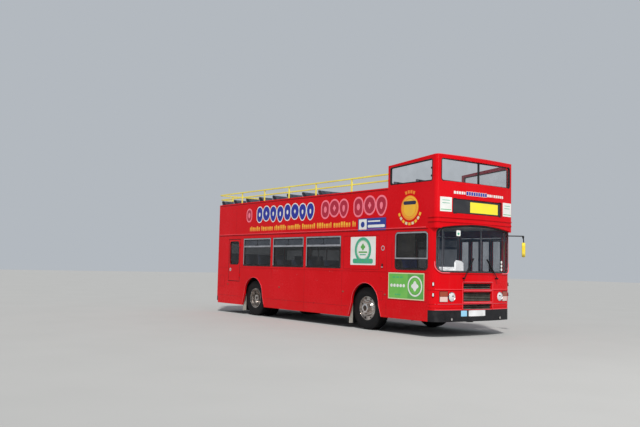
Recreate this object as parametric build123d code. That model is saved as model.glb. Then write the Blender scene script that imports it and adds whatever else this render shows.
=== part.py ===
from build123d import *
import math
import os

# Open top double decker bus. +X is forward, +Y is the nearside (left), +Z is up, millimetres.
# The origin is on the road, on the centre line, halfway along the body.

# Overall body. Names that end in IN are measured inwards from the body's side.
LENGTH = 9560.0
WIDTH = 2500.0
FRONT_OVERHANG = 2370.0
REAR_OVERHANG = 2237.0
WALL = 50.0
SEAT_GAP = 0.3

# Heights above the road
SKIRT_Z = 272.0
BUMPER_Z = 336.0
BUMPER_TOP_Z = 580.0
LOWER_FLOOR_Z = 640.0
FLOOR_T = 40.0
SILL_Z = 1426.0
HEAD_Z = 2214.0
DRIP_Z = 2326.0
UPPER_FLOOR_Z = 2450.0
UPPER_FLOOR_T = 60.0
PARAPET_Z = 3284.0
SCREEN_TOP_Z = 3927.0
SCREEN_DROP = 143.0
REAR_DECK_Z = 920.0

# Plan shape of the body: bow radius and corner radius of each end
LOWER_BOW_R = 5680.0
LOWER_CORNER_R = 210.0
UPPER_BOW_R = 10400.0
UPPER_CORNER_R = 94.0
REAR_BOW_R = 14000.0
REAR_CORNER_R = 110.0
FRONT_MODULE_L = 310.0
REAR_MODULE_L = 180.0

# Mouldings on the panels
DRIP_H = 26.0
DRIP_PROUD = 12.0
CAP_H = 34.0
CAP_PROUD = 7.0
WAIST_Z = 1366.0
WAIST_H = 13.0
WAIST_PROUD = 5.0
ARCH_LIP_W = 24.0
ARCH_LIP_PROUD = 7.0
BEAD_PROUD = 8.0
FRONT_BEADS = [(1010.0, 1026.0)]  # bottom, top
FRONT_GROOVES = [(624.0, 633.0), (692.0, 704.0)]  # bottom, top
GROOVE_DEPTH = 7.0
PEAK_BEADS = [(2464.0, 2484.0), (2558.0, 2578.0)]  # bottom, top
PEAK_PROUD = 14.0
SCREEN_LIP_W = 22.0
SCREEN_LIP_OUT = 30.0
SCREEN_LIP_PROUD = 12.0

# Saloon side windows, with their aluminium frames
WINDOW_W = 1450.0
WINDOW_POST = 128.0
JAMB_W = 60.0
EXIT_POST = 196.0
OFFSIDE_WINDOWS = 3
NEARSIDE_WINDOWS = 4
HOPPER_Z = 1960.0
FRAME_W = 30.0
FRAME_R = 28.0
FRAME_PROUD = 4.0
GLASS_T = 6.0
GLASS_INSET = 16.0

# Driver's window
DRIVER_WINDOW_BACK = 1345.0
DRIVER_WINDOW_W = 1022.0
DRIVER_WINDOW_TOP_Z = 2255.0
DRIVER_WINDOW_BAR_Z = 1660.0
DRIVER_WINDOW_R = 90.0

# Windscreen
SCREEN_Z = 1391.0
SCREEN_EDGE = 70.0
SCREEN_SIDE_TOP_Z = 2330.0
SCREEN_CROWN_Z = 2430.0
SCREEN_R = 150.0
SCREEN_TOP_R = 130.0
SCREEN_GLASS_T = 10.0

# Grille and lamps
GRILLE_HALF_W = 461.0
GRILLE_SLOTS = [(594.0, 710.0), (764.0, 971.0), (1026.0, 1155.0)]  # bottom, top
BLADE_PITCH = 34.0
BLADE_W = 46.0
BLADE_T = 4.0
BLADE_TILT = 35.0
GRILLE_POST = 30.0
SURROUND_GAP = 22.0
SURROUND_W = 20.0
HEADLAMP_IN = 472.0
HEADLAMP_Z = 868.0
HEADLAMP_R = 90.0
HEADLAMP_BULGE = 20.0
HEADLAMP_FLANGE = 14.0
LAMP_FIT = 3.0
SIDELAMP_IN = (364.0, 146.0)  # inner edge, outer edge
SIDELAMP_Z = (753.0, 986.0)
SIDELAMP_T = 42.0
MARKER_X = 190.0
MARKER_Z = [908.0, 1136.0]
MARKER_R = 20.0
REAR_LAMP_IN = 210.0
REAR_LAMP_Z = [920.0, 1050.0, 1180.0]
REAR_LAMP_R = 50.0
REAR_LAMP_PROUD = 25.0
FOG_LAMP_IN = 464.0
FOG_LAMP_Z = 390.0
FOG_LAMP_R = 32.0
FOG_LAMP_PROUD = 18.0

# Destination box on the upper front
DEST_HALF_W = 795.0
DEST_Z = (2665.0, 2983.0)
DEST_DEPTH = 22.0
DEST_R = 30.0

# Upper deck wind screen
UPPER_SCREEN_EDGE = 120.0
UPPER_SCREEN_Z = (3346.0, 3832.0)
UPPER_SCREEN_R = 60.0
UPPER_SCREEN_BAR = 26.0
SIDE_SCREEN_L = 1612.0
SIDE_SCREEN_POST = 72.0
SIDE_SCREEN_RAILS = (60.0, 92.0)  # at the rear, at the front
SIDE_SCREEN_FRONT = 212.0
SIDE_SCREEN_R = 40.0
SCREEN_FRAME_T = 45.0

# Guard rails
RAIL_W = 34.0
TOP_RAIL_Z = 3600.0
MID_RAIL_Z = 3458.0
FIRST_POST = 1348.0
SECOND_POST = 1460.0
POST_SPACING = 1235.0
POST_W = 42.0
POST_T = 25.0
POST_INSET = 12.0
REAR_RAIL_INSET = 50.0
RAIL_BEND_R = 110.0
REAR_POST_Y = 750.0

# Wheels
TYRE_R = 500.0
TYRE_W = 280.0
RIM_R = 278.0
RIM_T = 10.0
BARREL_W = 245.0
TYRE_IN = 70.0
RIM_RECESS = 15.0
TWIN_GAP = 50.0
HUB_R = 95.0
HUB_PROUD = 70.0
DISC_T = 12.0
DISC_CROWN_R = 165.0
DISC_SHOULDER_R = 190.0
DISC_DROP = 35.0
DISH_R = 240.0
DISH_LIP = 62.0
REAR_WEB_DEPTH = 165.0
HOLE_R = 22.0
HOLE_COUNT = 8
SPINDLE_R = 35.0
REAR_SPINDLE_R = 45.0
RUNNING_FIT = 0.08

# Front axle
KINGPIN_IN = 310.0
KINGPIN_R = 20.0
BOSS_R = 42.0
BOSS_H = 110.0
EAR_T = 24.0
EAR_GAP = 1.0
KNUCKLE_WEB = (50.0, 85.0)
HUB_CLEARANCE = 10.0
BEAM_Z = (330.0, 430.0)
BEAM_W = 90.0
BEAM_DROP_IN = (690.0, 600.0)
SPRING_PAD_L = 150.0

# Rear axle
DIFF_Y = 120.0
DIFF_R = 150.0
DIFF_W = 220.0
AXLE_W = 160.0
AXLE_Z = (300.0, 430.0)
AXLE_ARM_IN = (770.0, 720.0)
REAR_SPRING_L = 300.0

# Wheel arches and boxes
ARCH_HALF_W = 602.0
ARCH_TOP_Z = 1091.0
ARCH_R = 488.0
WHEEL_BOX_TOP_Z = 1130.0
WHEEL_BOX_HALF = 625.0
WHEEL_BOX_W = 710.0
WHEEL_BOX_T = 15.0
WHEEL_BOX_R = 260.0
MUDFLAP_W = 335.0
MUDFLAP_T = 8.0
MUDFLAP_Z = 110.0

# Chassis
RAIL_IN = (850.0, 780.0)
CHASSIS_Z = 470.0
MEMBER_W = 70.0
CRADLE_IN = (270.0, 200.0)
CRADLE_MEMBER_W = 35.0
CRADLE_FRONT = 1025.0
CRADLE_REAR = 100.0
BEARER_W = 60.0
BEARER_T = 40.0
TOW_R = 22.0
TOW_T = 30.0
TOW_Z = 300.0
TOW_HALF_W = 70.0
TOW_L = 95.0
TOW_EYE_EDGE = 35.0
JACK_HALF = 60.0
JACK_T = 30.0
JACK_IN = 250.0
FRONT_JACK_BACK = 2110.0
REAR_JACK_AHEAD = 1140.0

# Engine, one plain block
ENGINE_BACK = 140.0
ENGINE_L = 790.0
ENGINE_Y = (-850.0, 600.0)
ENGINE_Z = 380.0
ENGINE_CLEARANCE = 40.0
DECK_BACK = 282.0

# Cab
DASH_BACK = 440.0
DASH_L = 300.0
DASH_Z = (900.0, 1330.0)
DASH_W = 920.0
SHELF_L = 220.0
SHELF_T = 130.0
STEER_BACK = 584.0
STEER_IN = 450.0
STEER_Z = 1330.0
STEER_TILT = 35.0
STEER_R = 229.0
STEER_RIM_W = 26.0
STEER_RIM_T = 22.0
STEER_HUB_R = 45.0
COLUMN_R = 28.0
COLUMN_L = 270.0

# Entrance doors on the nearside
DOOR_SETBACK = 350.0
DOORWAY_W = 1320.0
DOOR_BOTTOM_Z = 352.0
DOOR_T = 30.0
DOOR_POST_GAP = 27.0
DOOR_LEAF_END = 15.0
DOOR_HINGE_GAP = 4.0
DOOR_MEET_GAP = 12.0
DOOR_INSET = 8.0
DOOR_STILE = 45.0
DOOR_RAIL_Z = (1180.0, 1250.0)
DOOR_PANE_R = 30.0
HINGE_R = 6.0
HINGE_H = 35.0
HINGE_PLATE = 30.0
PIVOT_R = 12.0
STEP_Z = 335.0
STEP_DEPTH = 365.0
MID_STEP_Z = 487.0
MID_STEP_DEPTH = 260.0
STEP_T = 25.0

# Rear: engine cover, window and emergency door
COVER_HALF_W = 900.0
COVER_Z = (480.0, 1330.0)
COVER_GAP = 6.0
COVER_HINGE_OUT = 10.0
COVER_HINGE_R = 7.0
REAR_WINDOW_HALF_W = 800.0
REAR_WINDOW_Z = (1500.0, 2120.0)
EXIT_BACK = 770.0
EXIT_W = 680.0
EXIT_Z = 950.0
EXIT_GAP = 6.0
EXIT_T = 40.0
EXIT_STILE = 70.0
EXIT_HINGE_OUT = 10.0
EXIT_HINGE_R = 7.0
EXIT_HINGE_H = 90.0

# Stairs over the offside front wheel
STAIR_FOOT = 1110.0
STAIR_L = 1800.0
STAIR_STEPS = 8
STAIR_W = 650.0
STAIR_T = 30.0
STAIRWELL_FOOT = 250.0
STAIR_GUARD_H = 780.0
BULKHEAD_GAP = 90.0
BULKHEAD_W = 830.0
FLOOR_SETBACK = 110.0

# Seats
SEAT_PITCH = 720.0
CUSHION_Z = 440.0
CUSHION_T = 95.0
CUSHION_L = 430.0
BACK_Z = 970.0
BACK_T = 60.0
BACK_RAKE = 90.0
LEG_W = 30.0
LEG_INSET = 210.0
AISLE_HALF = 300.0
WALL_CLEARANCE = 20.0
LOWER_ROWS = [1260.0, 1720.0]  # first seat behind the front axle: nearside, offside
DRIVER_SEAT_BACK = 1380.0
DRIVER_SEAT_HALF_W = 235.0
DRIVER_SEAT_LIFT = 80.0
UPPER_FIRST_ROW = 800.0

# Nearside mirror
MIRROR_BACK = -10.0
MIRROR_OUT = 305.0
MIRROR_Z = (1770.0, 2110.0)
MIRROR_W = 190.0
MIRROR_T = 70.0
MIRROR_TURN = 34.0
MIRROR_ARM_R = 13.0
MIRROR_ARM_Z = 2260.0

# Wipers
WIPERS = [(-476.0, -36.0), (609.0, 38.0)]  # pivot Y, lean in degrees
WIPER_Z = 1268.0
WIPER_ARM = 330.0
WIPER_BLADE = 360.0
WIPER_BLADE_FOOT = 175.0
WIPER_REACH = 28.0
WIPER_W = 18.0

HALF_L = LENGTH / 2
HALF_W = WIDTH / 2
INNER_Y = HALF_W - WALL
FRONT_AXLE_X = HALF_L - FRONT_OVERHANG
REAR_AXLE_X = -HALF_L + REAR_OVERHANG
FRONT_SEAM_X = HALF_L - FRONT_MODULE_L
REAR_SEAM_X = -HALF_L + REAR_MODULE_L
AXLES_X = (FRONT_AXLE_X, REAR_AXLE_X)
FLOOR_UNDER_Z = LOWER_FLOOR_Z - FLOOR_T
DOOR_FRONT_X = HALF_L - DOOR_SETBACK
DOOR_REAR_X = DOOR_FRONT_X - DOORWAY_W
DOOR_OUTER_Y = HALF_W - DOOR_INSET
DOOR_MID_Y = DOOR_OUTER_Y - DOOR_T / 2
DOOR_FOLD_Y = DOOR_OUTER_Y + DOOR_HINGE_GAP
DRIVER_WINDOW_X = (HALF_L - DRIVER_WINDOW_BACK, HALF_L - DRIVER_WINDOW_BACK + DRIVER_WINDOW_W)
EXIT_X = (-HALF_L + EXIT_BACK, -HALF_L + EXIT_BACK + EXIT_W)
SIDE_SCREEN_X = HALF_L - SIDE_SCREEN_L
ENGINE_X = (-HALF_L + ENGINE_BACK, -HALF_L + ENGINE_BACK + ENGINE_L)
BULKHEAD_X = REAR_AXLE_X - WHEEL_BOX_HALF - DECK_BACK
STAIR_X = (FRONT_AXLE_X - STAIR_FOOT, FRONT_AXLE_X - STAIR_FOOT + STAIR_L)
TYRE_FACE_Y = HALF_W - TYRE_IN
WHEEL_FACE_Y = TYRE_FACE_Y - RIM_RECESS
KINGPIN_Y = HALF_W - KINGPIN_IN
BEAM_DROP_Y = (HALF_W - BEAM_DROP_IN[0], HALF_W - BEAM_DROP_IN[1])
AXLE_ARM_Y = (HALF_W - AXLE_ARM_IN[0], HALF_W - AXLE_ARM_IN[1])
WHEEL_BOX_INNER_Y = HALF_W - WHEEL_BOX_W
RAIL_Y = (HALF_W - RAIL_IN[0], HALF_W - RAIL_IN[1])
CRADLE_Y = (HALF_W - CRADLE_IN[0], HALF_W - CRADLE_IN[1])
JACK_Y = HALF_W - JACK_IN
SCREEN_HALF_W = HALF_W - SCREEN_EDGE
UPPER_SCREEN_HALF_W = HALF_W - UPPER_SCREEN_EDGE
HEADLAMP_Y = HALF_W - HEADLAMP_IN
SIDELAMP_Y = (HALF_W - SIDELAMP_IN[0], HALF_W - SIDELAMP_IN[1])
FOG_LAMP_Y = HALF_W - FOG_LAMP_IN
REAR_LAMP_Y = HALF_W - REAR_LAMP_IN
DASH_INNER_Y = -HALF_W + DASH_W
STEER_Y = -HALF_W + STEER_IN
STAIR_INNER_Y = -HALF_W + STAIR_W
BULKHEAD_INNER_Y = -HALF_W + BULKHEAD_W
OFFSIDE, NEARSIDE = -1, 1
SIDES = (OFFSIDE, NEARSIDE)
TALL = (0.0, 2 * SCREEN_TOP_Z)

parts = {}


def keep(name, *shapes):
    """Stores the solids of one node."""
    solids = [s for shape in shapes for s in shape.solids()]
    parts[name] = Compound(children=solids) if len(solids) > 1 else solids[0]


def block(x, y, z):
    """A box from three (low, high) pairs."""
    (x0, x1), (y0, y1), (z0, z1) = (sorted(pair) for pair in (x, y, z))
    return Pos((x0 + x1) / 2, (y0 + y1) / 2, (z0 + z1) / 2) * Box(x1 - x0, y1 - y0, z1 - z0)


def mirrored(side, y):
    """A (low, high) pair of Y on the given side of the bus."""
    return (side * y[0], side * y[1])


def around(centre, half):
    return (centre - half, centre + half)


def rod(centre, r, length, tilt):
    """A cylinder turned by tilt, an (X, Y, Z) rotation."""
    return Pos(*centre) * Rotation(*tilt) * Cylinder(r, length)


ALONG_X = (0, 90, 0)
ALONG_Y = (90, 0, 0)
UPRIGHT = (0, 0, 0)


def plan(bow_r, corner_r, inset):
    """The body's plan outline, drawn in by inset."""
    nose, tail, side = HALF_L - inset, -HALF_L + inset, HALF_W - inset
    front_r, back_r = bow_r - inset, REAR_BOW_R - inset
    front_x = nose - front_r + math.sqrt(front_r**2 - side**2)
    back_x = tail + back_r - math.sqrt(back_r**2 - side**2)
    corners = [(front_x, -side), (front_x, side), (back_x, side), (back_x, -side)]
    edges = [
        ThreePointArc(corners[0], (nose, 0), corners[1]),
        Line(corners[1], corners[2]),
        ThreePointArc(corners[2], (tail, 0), corners[3]),
        Line(corners[3], corners[0]),
    ]
    face = make_face(edges)
    face = fillet(face.vertices().filter_by(lambda v: v.X > 0), corner_r - inset)
    rear = face.vertices().filter_by(lambda v: v.X < back_x + 1)
    return fillet(rear, REAR_CORNER_R - inset)


def body_fill(bow_r, corner_r, z, inset):
    """The whole body outline as a solid between two heights."""
    return Pos(0, 0, z[0]) * extrude(plan(bow_r, corner_r, inset), z[1] - z[0])


def lower_fill(z, inset):
    return body_fill(LOWER_BOW_R, LOWER_CORNER_R, z, inset)


def upper_fill(z, inset):
    return body_fill(UPPER_BOW_R, UPPER_CORNER_R, z, inset)


def ring(bow_r, corner_r, z, outset, thickness):
    """An upright band of the body wall between two heights."""
    outer = plan(bow_r, corner_r, outset)
    inner = plan(bow_r, corner_r, outset + thickness)
    return Pos(0, 0, z[0]) * extrude(outer - inner, z[1] - z[0])


def lower_ring(z, outset=0.0, thickness=WALL):
    return ring(LOWER_BOW_R, LOWER_CORNER_R, z, outset, thickness)


def upper_ring(z, outset=0.0, thickness=WALL):
    return ring(UPPER_BOW_R, UPPER_CORNER_R, z, outset, thickness)


def front_face_x(y):
    """Where the lower front's outer face is at y."""
    return HALF_L - LOWER_BOW_R + math.sqrt(LOWER_BOW_R**2 - y**2)


def front_back_x(y):
    """Where the lower front's inner face is at y."""
    return HALF_L - LOWER_BOW_R + math.sqrt((LOWER_BOW_R - WALL) ** 2 - y**2)


def rear_face_x(y):
    """Where the rear's outer face is at y."""
    return -HALF_L + REAR_BOW_R - math.sqrt(REAR_BOW_R**2 - y**2)


def front_end(shape):
    return shape & block((FRONT_SEAM_X, 2 * HALF_L), (-WIDTH, WIDTH), TALL)


def rear_end(shape):
    return shape & block((-2 * HALF_L, REAR_SEAM_X), (-WIDTH, WIDTH), TALL)


def along_x(sketch_yz, x0, x1):
    """Extrudes a sketch whose X is the body's Y and whose Y is the body's Z."""
    plane = Plane(origin=(x0, 0, 0), x_dir=(0, 1, 0), z_dir=(1, 0, 0))
    return extrude(plane * sketch_yz, x1 - x0)


def along_y(sketch_xz, y):
    """Extrudes a sketch whose X is the body's X and whose Y is the body's Z."""
    y0, y1 = sorted(y)
    plane = Plane(origin=(0, y0, 0), x_dir=(1, 0, 0), z_dir=(0, -1, 0))
    return extrude(plane * sketch_xz, y0 - y1)


def rectangle(u, v):
    return Pos((u[0] + u[1]) / 2, (v[0] + v[1]) / 2) * Rectangle(u[1] - u[0], v[1] - v[0])


def rounded(u, v, r, shrink=0.0):
    """A rounded rectangle sketch from two (low, high) pairs, drawn in by shrink."""
    (u0, u1), (v0, v1) = sorted(u), sorted(v)
    size = (u1 - u0 - 2 * shrink, v1 - v0 - 2 * shrink)
    return Pos((u0 + u1) / 2, (v0 + v1) / 2) * RectangleRounded(size[0], size[1], r - shrink)


def wall_y(side, depth=0.0, thickness=WALL):
    """The Y range of a skin in a side wall."""
    return mirrored(side, (HALF_W - depth - thickness, HALF_W - depth))


def proud_y(side, proud):
    """The Y range of a moulding that stands out of a side wall and is rooted in it."""
    return mirrored(side, (HALF_W - WALL / 2, HALF_W + proud))


def windscreen_profile(shrink=0.0):
    """The windscreen opening, seen from ahead, drawn in by shrink."""
    half, bottom = SCREEN_HALF_W - shrink, SCREEN_Z + shrink
    side_top, crown = SCREEN_SIDE_TOP_Z - shrink, SCREEN_CROWN_Z - shrink
    edges = [
        Line((-half, side_top), (-half, bottom)),
        Line((-half, bottom), (half, bottom)),
        Line((half, bottom), (half, side_top)),
        ThreePointArc((half, side_top), (0, crown), (-half, side_top)),
    ]
    face = make_face(edges)
    low = face.vertices().filter_by(lambda v: v.Y < bottom + 1)
    face = fillet(low, SCREEN_R - shrink)
    high = face.vertices().filter_by(lambda v: v.Y > side_top - 1)
    return fillet(high, SCREEN_TOP_R - shrink)


def arch_profile(axle_x, grow=0.0):
    """A wheel arch seen from the side: a round head on two legs that spread down to the skirt."""
    centre_z = ARCH_TOP_Z - ARCH_R
    head_r = ARCH_R + grow
    spread = (ARCH_HALF_W - ARCH_R) / (centre_z - SKIRT_Z)
    foot_z = SKIRT_Z - WALL
    leg = ARCH_HALF_W + grow + spread * WALL
    edges = [
        Line((-leg, foot_z), (leg, foot_z)),
        Line((leg, foot_z), (head_r, centre_z)),
        ThreePointArc((head_r, centre_z), (0, centre_z + head_r), (-head_r, centre_z)),
        Line((-head_r, centre_z), (-leg, foot_z)),
    ]
    return Pos(axle_x, 0) * make_face(edges)


def window_bays(side):
    """(rear X, front X) of each saloon window, from the front."""
    pitch = WINDOW_W + WINDOW_POST
    if side == OFFSIDE:
        front = EXIT_X[1] + EXIT_POST + OFFSIDE_WINDOWS * pitch - WINDOW_POST
        count = OFFSIDE_WINDOWS
    else:
        front = DOOR_REAR_X - JAMB_W
        count = NEARSIDE_WINDOWS
    bays = [(front - k * pitch - WINDOW_W, front - k * pitch) for k in range(count)]
    if side == NEARSIDE:
        bays.append((REAR_SEAM_X + JAMB_W, front - count * pitch))
    return bays


def build_chassis():
    """Two rails with cross members and outriggers, and an engine cradle behind the rear axle."""
    z = (CHASSIS_Z, FLOOR_UNDER_Z)
    member_z = (z[0] + 20, z[1] - 20)
    nose, tail = HALF_L - 220, -HALF_L + CRADLE_REAR
    cradle_x = -HALF_L + CRADLE_FRONT
    gap = SEAT_GAP
    members = []
    for side in SIDES:
        members.append(block((cradle_x, nose), mirrored(side, RAIL_Y), z))
        members.append(block((tail + CRADLE_MEMBER_W + gap, cradle_x - MEMBER_W - gap), mirrored(side, CRADLE_Y), z))
    members.append(block((cradle_x - MEMBER_W, cradle_x - gap), (-CRADLE_Y[1], CRADLE_Y[1]), z))
    members.append(block((tail, tail + CRADLE_MEMBER_W), (-CRADLE_Y[1], CRADLE_Y[1]), z))
    cross = [nose - 40, DOOR_REAR_X + 240, FRONT_AXLE_X - 910, 0.0, REAR_AXLE_X + 700, REAR_AXLE_X - 810]
    for x in cross:
        members.append(block(around(x, MEMBER_W / 2), (-RAIL_Y[0] + gap, RAIL_Y[0] - gap), member_z))
    jacks = [FRONT_AXLE_X - FRONT_JACK_BACK, REAR_AXLE_X + REAR_JACK_AHEAD]
    for x in jacks + [FRONT_AXLE_X - 910]:
        for side in SIDES:
            arm = block(around(x, 25), mirrored(side, (RAIL_Y[1] + gap, INNER_Y - gap)), (z[1] - 70, z[1]))
            if x in jacks:
                pad_z = (z[1] - 70 - JACK_T, z[1] - 60)
                arm += block(around(x, JACK_HALF), mirrored(side, around(JACK_Y, JACK_HALF)), pad_z)
            members.append(arm)
    for x in (ENGINE_X[0] + 90, ENGINE_X[1] - 90):
        bearer = block(around(x, BEARER_W / 2), (-CRADLE_Y[1], CRADLE_Y[1]), (ENGINE_Z - BEARER_T, ENGINE_Z))
        for side in SIDES:
            bearer += block(around(x, BEARER_W / 2), mirrored(side, CRADLE_Y), (ENGINE_Z - 1, z[0] - gap))
        members.append(bearer)
    for x, way, web_z in ((nose - 75, 1, z[0] + 20), (tail + CRADLE_MEMBER_W, -1, z[0])):
        lug = block((x, x + way * TOW_L), (-TOW_HALF_W, TOW_HALF_W), (TOW_Z, TOW_Z + TOW_T))
        lug -= Pos(x + way * (TOW_L - TOW_EYE_EDGE), 0, TOW_Z) * Cylinder(TOW_R, 4 * TOW_T)
        web = block((x, x + way * CRADLE_MEMBER_W), (-TOW_HALF_W / 2, TOW_HALF_W / 2), (TOW_Z, web_z - gap))
        members.append(lug + web)
    keep("chassis_frame", *members)
    engine_z = (ENGINE_Z, REAR_DECK_Z - ENGINE_CLEARANCE)
    keep("engine_block", block(ENGINE_X, ENGINE_Y, engine_z))


def build_front_axle():
    """A dropped beam with a kingpin boss at each end."""
    x = around(FRONT_AXLE_X, BEAM_W / 2)
    arm_z = around(TYRE_R, BEAM_W / 2)
    beam = block(x, (-BEAM_DROP_Y[1], BEAM_DROP_Y[1]), BEAM_Z)
    for side in SIDES:
        beam += block(x, mirrored(side, BEAM_DROP_Y), (BEAM_Z[0], arm_z[1]))
        beam += block(x, mirrored(side, (BEAM_DROP_Y[0], KINGPIN_Y)), arm_z)
        beam += block(around(FRONT_AXLE_X, SPRING_PAD_L / 2), mirrored(side, RAIL_Y), (BEAM_Z[1] - 5, CHASSIS_Z))
    for side in SIDES:
        centre = (FRONT_AXLE_X, side * KINGPIN_Y, TYRE_R)
        beam -= rod(centre, BOSS_R + HUB_CLEARANCE, BOSS_H, UPRIGHT) & block(
            (-2 * HALF_L, 2 * HALF_L), mirrored(side, (KINGPIN_Y, HALF_W)), TALL
        )
        beam += rod(centre, BOSS_R, BOSS_H, UPRIGHT)
        beam -= rod(centre, KINGPIN_R + RUNNING_FIT, 2 * BOSS_H, UPRIGHT)
    keep("front_axle_beam", beam)


def build_rear_axle():
    """A drop-centre axle with its differential, springs and spindles."""
    x = around(REAR_AXLE_X, AXLE_W / 2)
    axle = block(x, (-AXLE_ARM_Y[1], AXLE_ARM_Y[1]), AXLE_Z)
    axle += rod((REAR_AXLE_X, DIFF_Y, AXLE_Z[0] + 40), DIFF_R, DIFF_W, ALONG_Y)
    reach = WHEEL_FACE_Y - 60
    for side in SIDES:
        axle += block(x, mirrored(side, AXLE_ARM_Y), (AXLE_Z[0], TYRE_R + 100))
        middle = (AXLE_ARM_Y[0] + 10 + reach) / 2
        spindle = (REAR_AXLE_X, side * middle, TYRE_R)
        axle += rod(spindle, REAR_SPINDLE_R, 2 * (reach - middle), ALONG_Y)
        spring_z = (AXLE_Z[0] + 30, AXLE_Z[0] + 85)
        axle += block(around(REAR_AXLE_X, REAR_SPRING_L), mirrored(side, RAIL_Y), spring_z)
        for end in (-REAR_SPRING_L, REAR_SPRING_L):
            pad = block(around(REAR_AXLE_X + end, 60), mirrored(side, RAIL_Y), (spring_z[1] - 5, CHASSIS_Z))
            axle += pad
    keep("rear_axle_housing", axle)


def build_knuckle(side):
    """Two ears round the beam's boss, with the kingpin, a web and the wheel's spindle."""
    top = TYRE_R + BOSS_H / 2 + EAR_GAP
    low = TYRE_R - BOSS_H / 2 - EAR_GAP
    x = around(FRONT_AXLE_X, BOSS_R)
    knuckle = rod((FRONT_AXLE_X, side * KINGPIN_Y, TYRE_R), KINGPIN_R, BOSS_H + 2 * EAR_T, UPRIGHT)
    for z in ((top, top + EAR_T), (low - EAR_T, low)):
        knuckle += rod((FRONT_AXLE_X, side * KINGPIN_Y, sum(z) / 2), BOSS_R, EAR_T, UPRIGHT)
        knuckle += block(x, mirrored(side, (KINGPIN_Y, KINGPIN_Y + KNUCKLE_WEB[1])), z)
    web = (KINGPIN_Y + KNUCKLE_WEB[0], KINGPIN_Y + KNUCKLE_WEB[1])
    knuckle += block(x, mirrored(side, web), (low - EAR_T, top + EAR_T))
    start, end = web[0] + 10, WHEEL_FACE_Y + HUB_PROUD - HUB_CLEARANCE
    knuckle += rod((FRONT_AXLE_X, side * (start + end) / 2, TYRE_R), SPINDLE_R, end - start, ALONG_Y)
    return knuckle


def revolved(profile, x):
    """Revolves a closed profile of (radius, y) points about the wheel axis at x."""
    plane = Plane(origin=(x, 0, TYRE_R), x_dir=(0, 0, 1), z_dir=(-1, 0, 0))
    face = plane * make_face(Polyline(*profile, close=True))
    return revolve(face, Axis((x, 0, TYRE_R), (0, 1, 0)), 360)


def sleeve(x, side, r, y):
    """A tube about the wheel axis, from (inner, outer) radii and a (low, high) pair of Y."""
    profile = [(r[0], side * y[0]), (r[1], side * y[0]), (r[1], side * y[1]), (r[0], side * y[1])]
    return revolved(profile, x)


def tyre(x, side, face_y):
    return sleeve(x, side, (RIM_R + SEAT_GAP, TYRE_R), (face_y - TYRE_W, face_y))


def barrel(x, side, face_y):
    return sleeve(x, side, (RIM_R - RIM_T, RIM_R), (face_y - BARREL_W, face_y))


def hand_holes(x, side, pitch_r, face):
    """A ring of hand holes to cut through a wheel disc."""
    holes = []
    for k in range(HOLE_COUNT):
        angle = 2 * math.pi * (k + 0.5) / HOLE_COUNT
        centre = (x + pitch_r * math.cos(angle), side * face, TYRE_R + pitch_r * math.sin(angle))
        holes.append(rod(centre, HOLE_R, 6 * DISC_T, ALONG_Y))
    return holes


def front_rim(side):
    """A front rim whose disc rises to a flat crown round a proud hub."""
    x = FRONT_AXLE_X
    face = WHEEL_FACE_Y
    edge = RIM_R - RIM_T / 2
    bore = SPINDLE_R + RUNNING_FIT
    disc = [
        (bore, side * (face - DISC_T)),
        (bore, side * face),
        (DISC_CROWN_R, side * face),
        (DISC_SHOULDER_R, side * (face - DISC_DROP)),
        (edge, side * (face - DISC_DROP)),
        (edge, side * (face - DISC_DROP - DISC_T)),
        (DISC_SHOULDER_R - DISC_T, side * (face - DISC_DROP - DISC_T)),
        (DISC_CROWN_R - DISC_T, side * (face - DISC_T)),
    ]
    hub_back = KINGPIN_Y + KNUCKLE_WEB[1] + HUB_CLEARANCE
    hub = sleeve(x, side, (bore, HUB_R), (hub_back, face + HUB_PROUD))
    rim = barrel(x, side, face) + revolved(disc, x) + hub
    return rim - hand_holes(x, side, (DISC_SHOULDER_R + edge) / 2, face - DISC_DROP)


def rear_rims(side):
    """Twin rims whose deep dishes meet in one web, bolted to the hub."""
    x = REAR_AXLE_X
    face = WHEEL_FACE_Y
    inner_face = face - TYRE_W - TWIN_GAP
    web = face - REAR_WEB_DEPTH
    edge = RIM_R - RIM_T / 2
    bore = REAR_SPINDLE_R + RUNNING_FIT
    rims = barrel(x, side, face) + barrel(x, side, inner_face)
    rims += sleeve(x, side, (DISH_R, DISH_R + DISC_T), (inner_face - DISH_LIP, face - DISH_LIP))
    for y in (inner_face - DISH_LIP, face - DISH_LIP - DISC_T):
        rims += sleeve(x, side, (DISH_R, edge), (y, y + DISC_T))
    rims += sleeve(x, side, (bore, DISH_R + DISC_T / 2), (web - DISC_T, web + DISC_T))
    rims += sleeve(x, side, (bore, HUB_R), (AXLE_ARM_Y[1] + 170, face - 40))
    return rims - hand_holes(x, side, (DISH_R + DISC_CROWN_R) / 2, web)


def build_wheels():
    for side, name in ((NEARSIDE, "left"), (OFFSIDE, "right")):
        keep(f"front_{name}_knuckle", build_knuckle(side))
        keep(f"front_{name}_tyre", tyre(FRONT_AXLE_X, side, TYRE_FACE_Y))
        keep(f"front_{name}_rim", front_rim(side))
        inner_y = TYRE_FACE_Y - TYRE_W - TWIN_GAP
        pair = [tyre(REAR_AXLE_X, side, y) for y in (TYRE_FACE_Y, inner_y)]
        keep(f"rear_{name}_tyres", *pair)
        keep(f"rear_{name}_rims", rear_rims(side))


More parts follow.
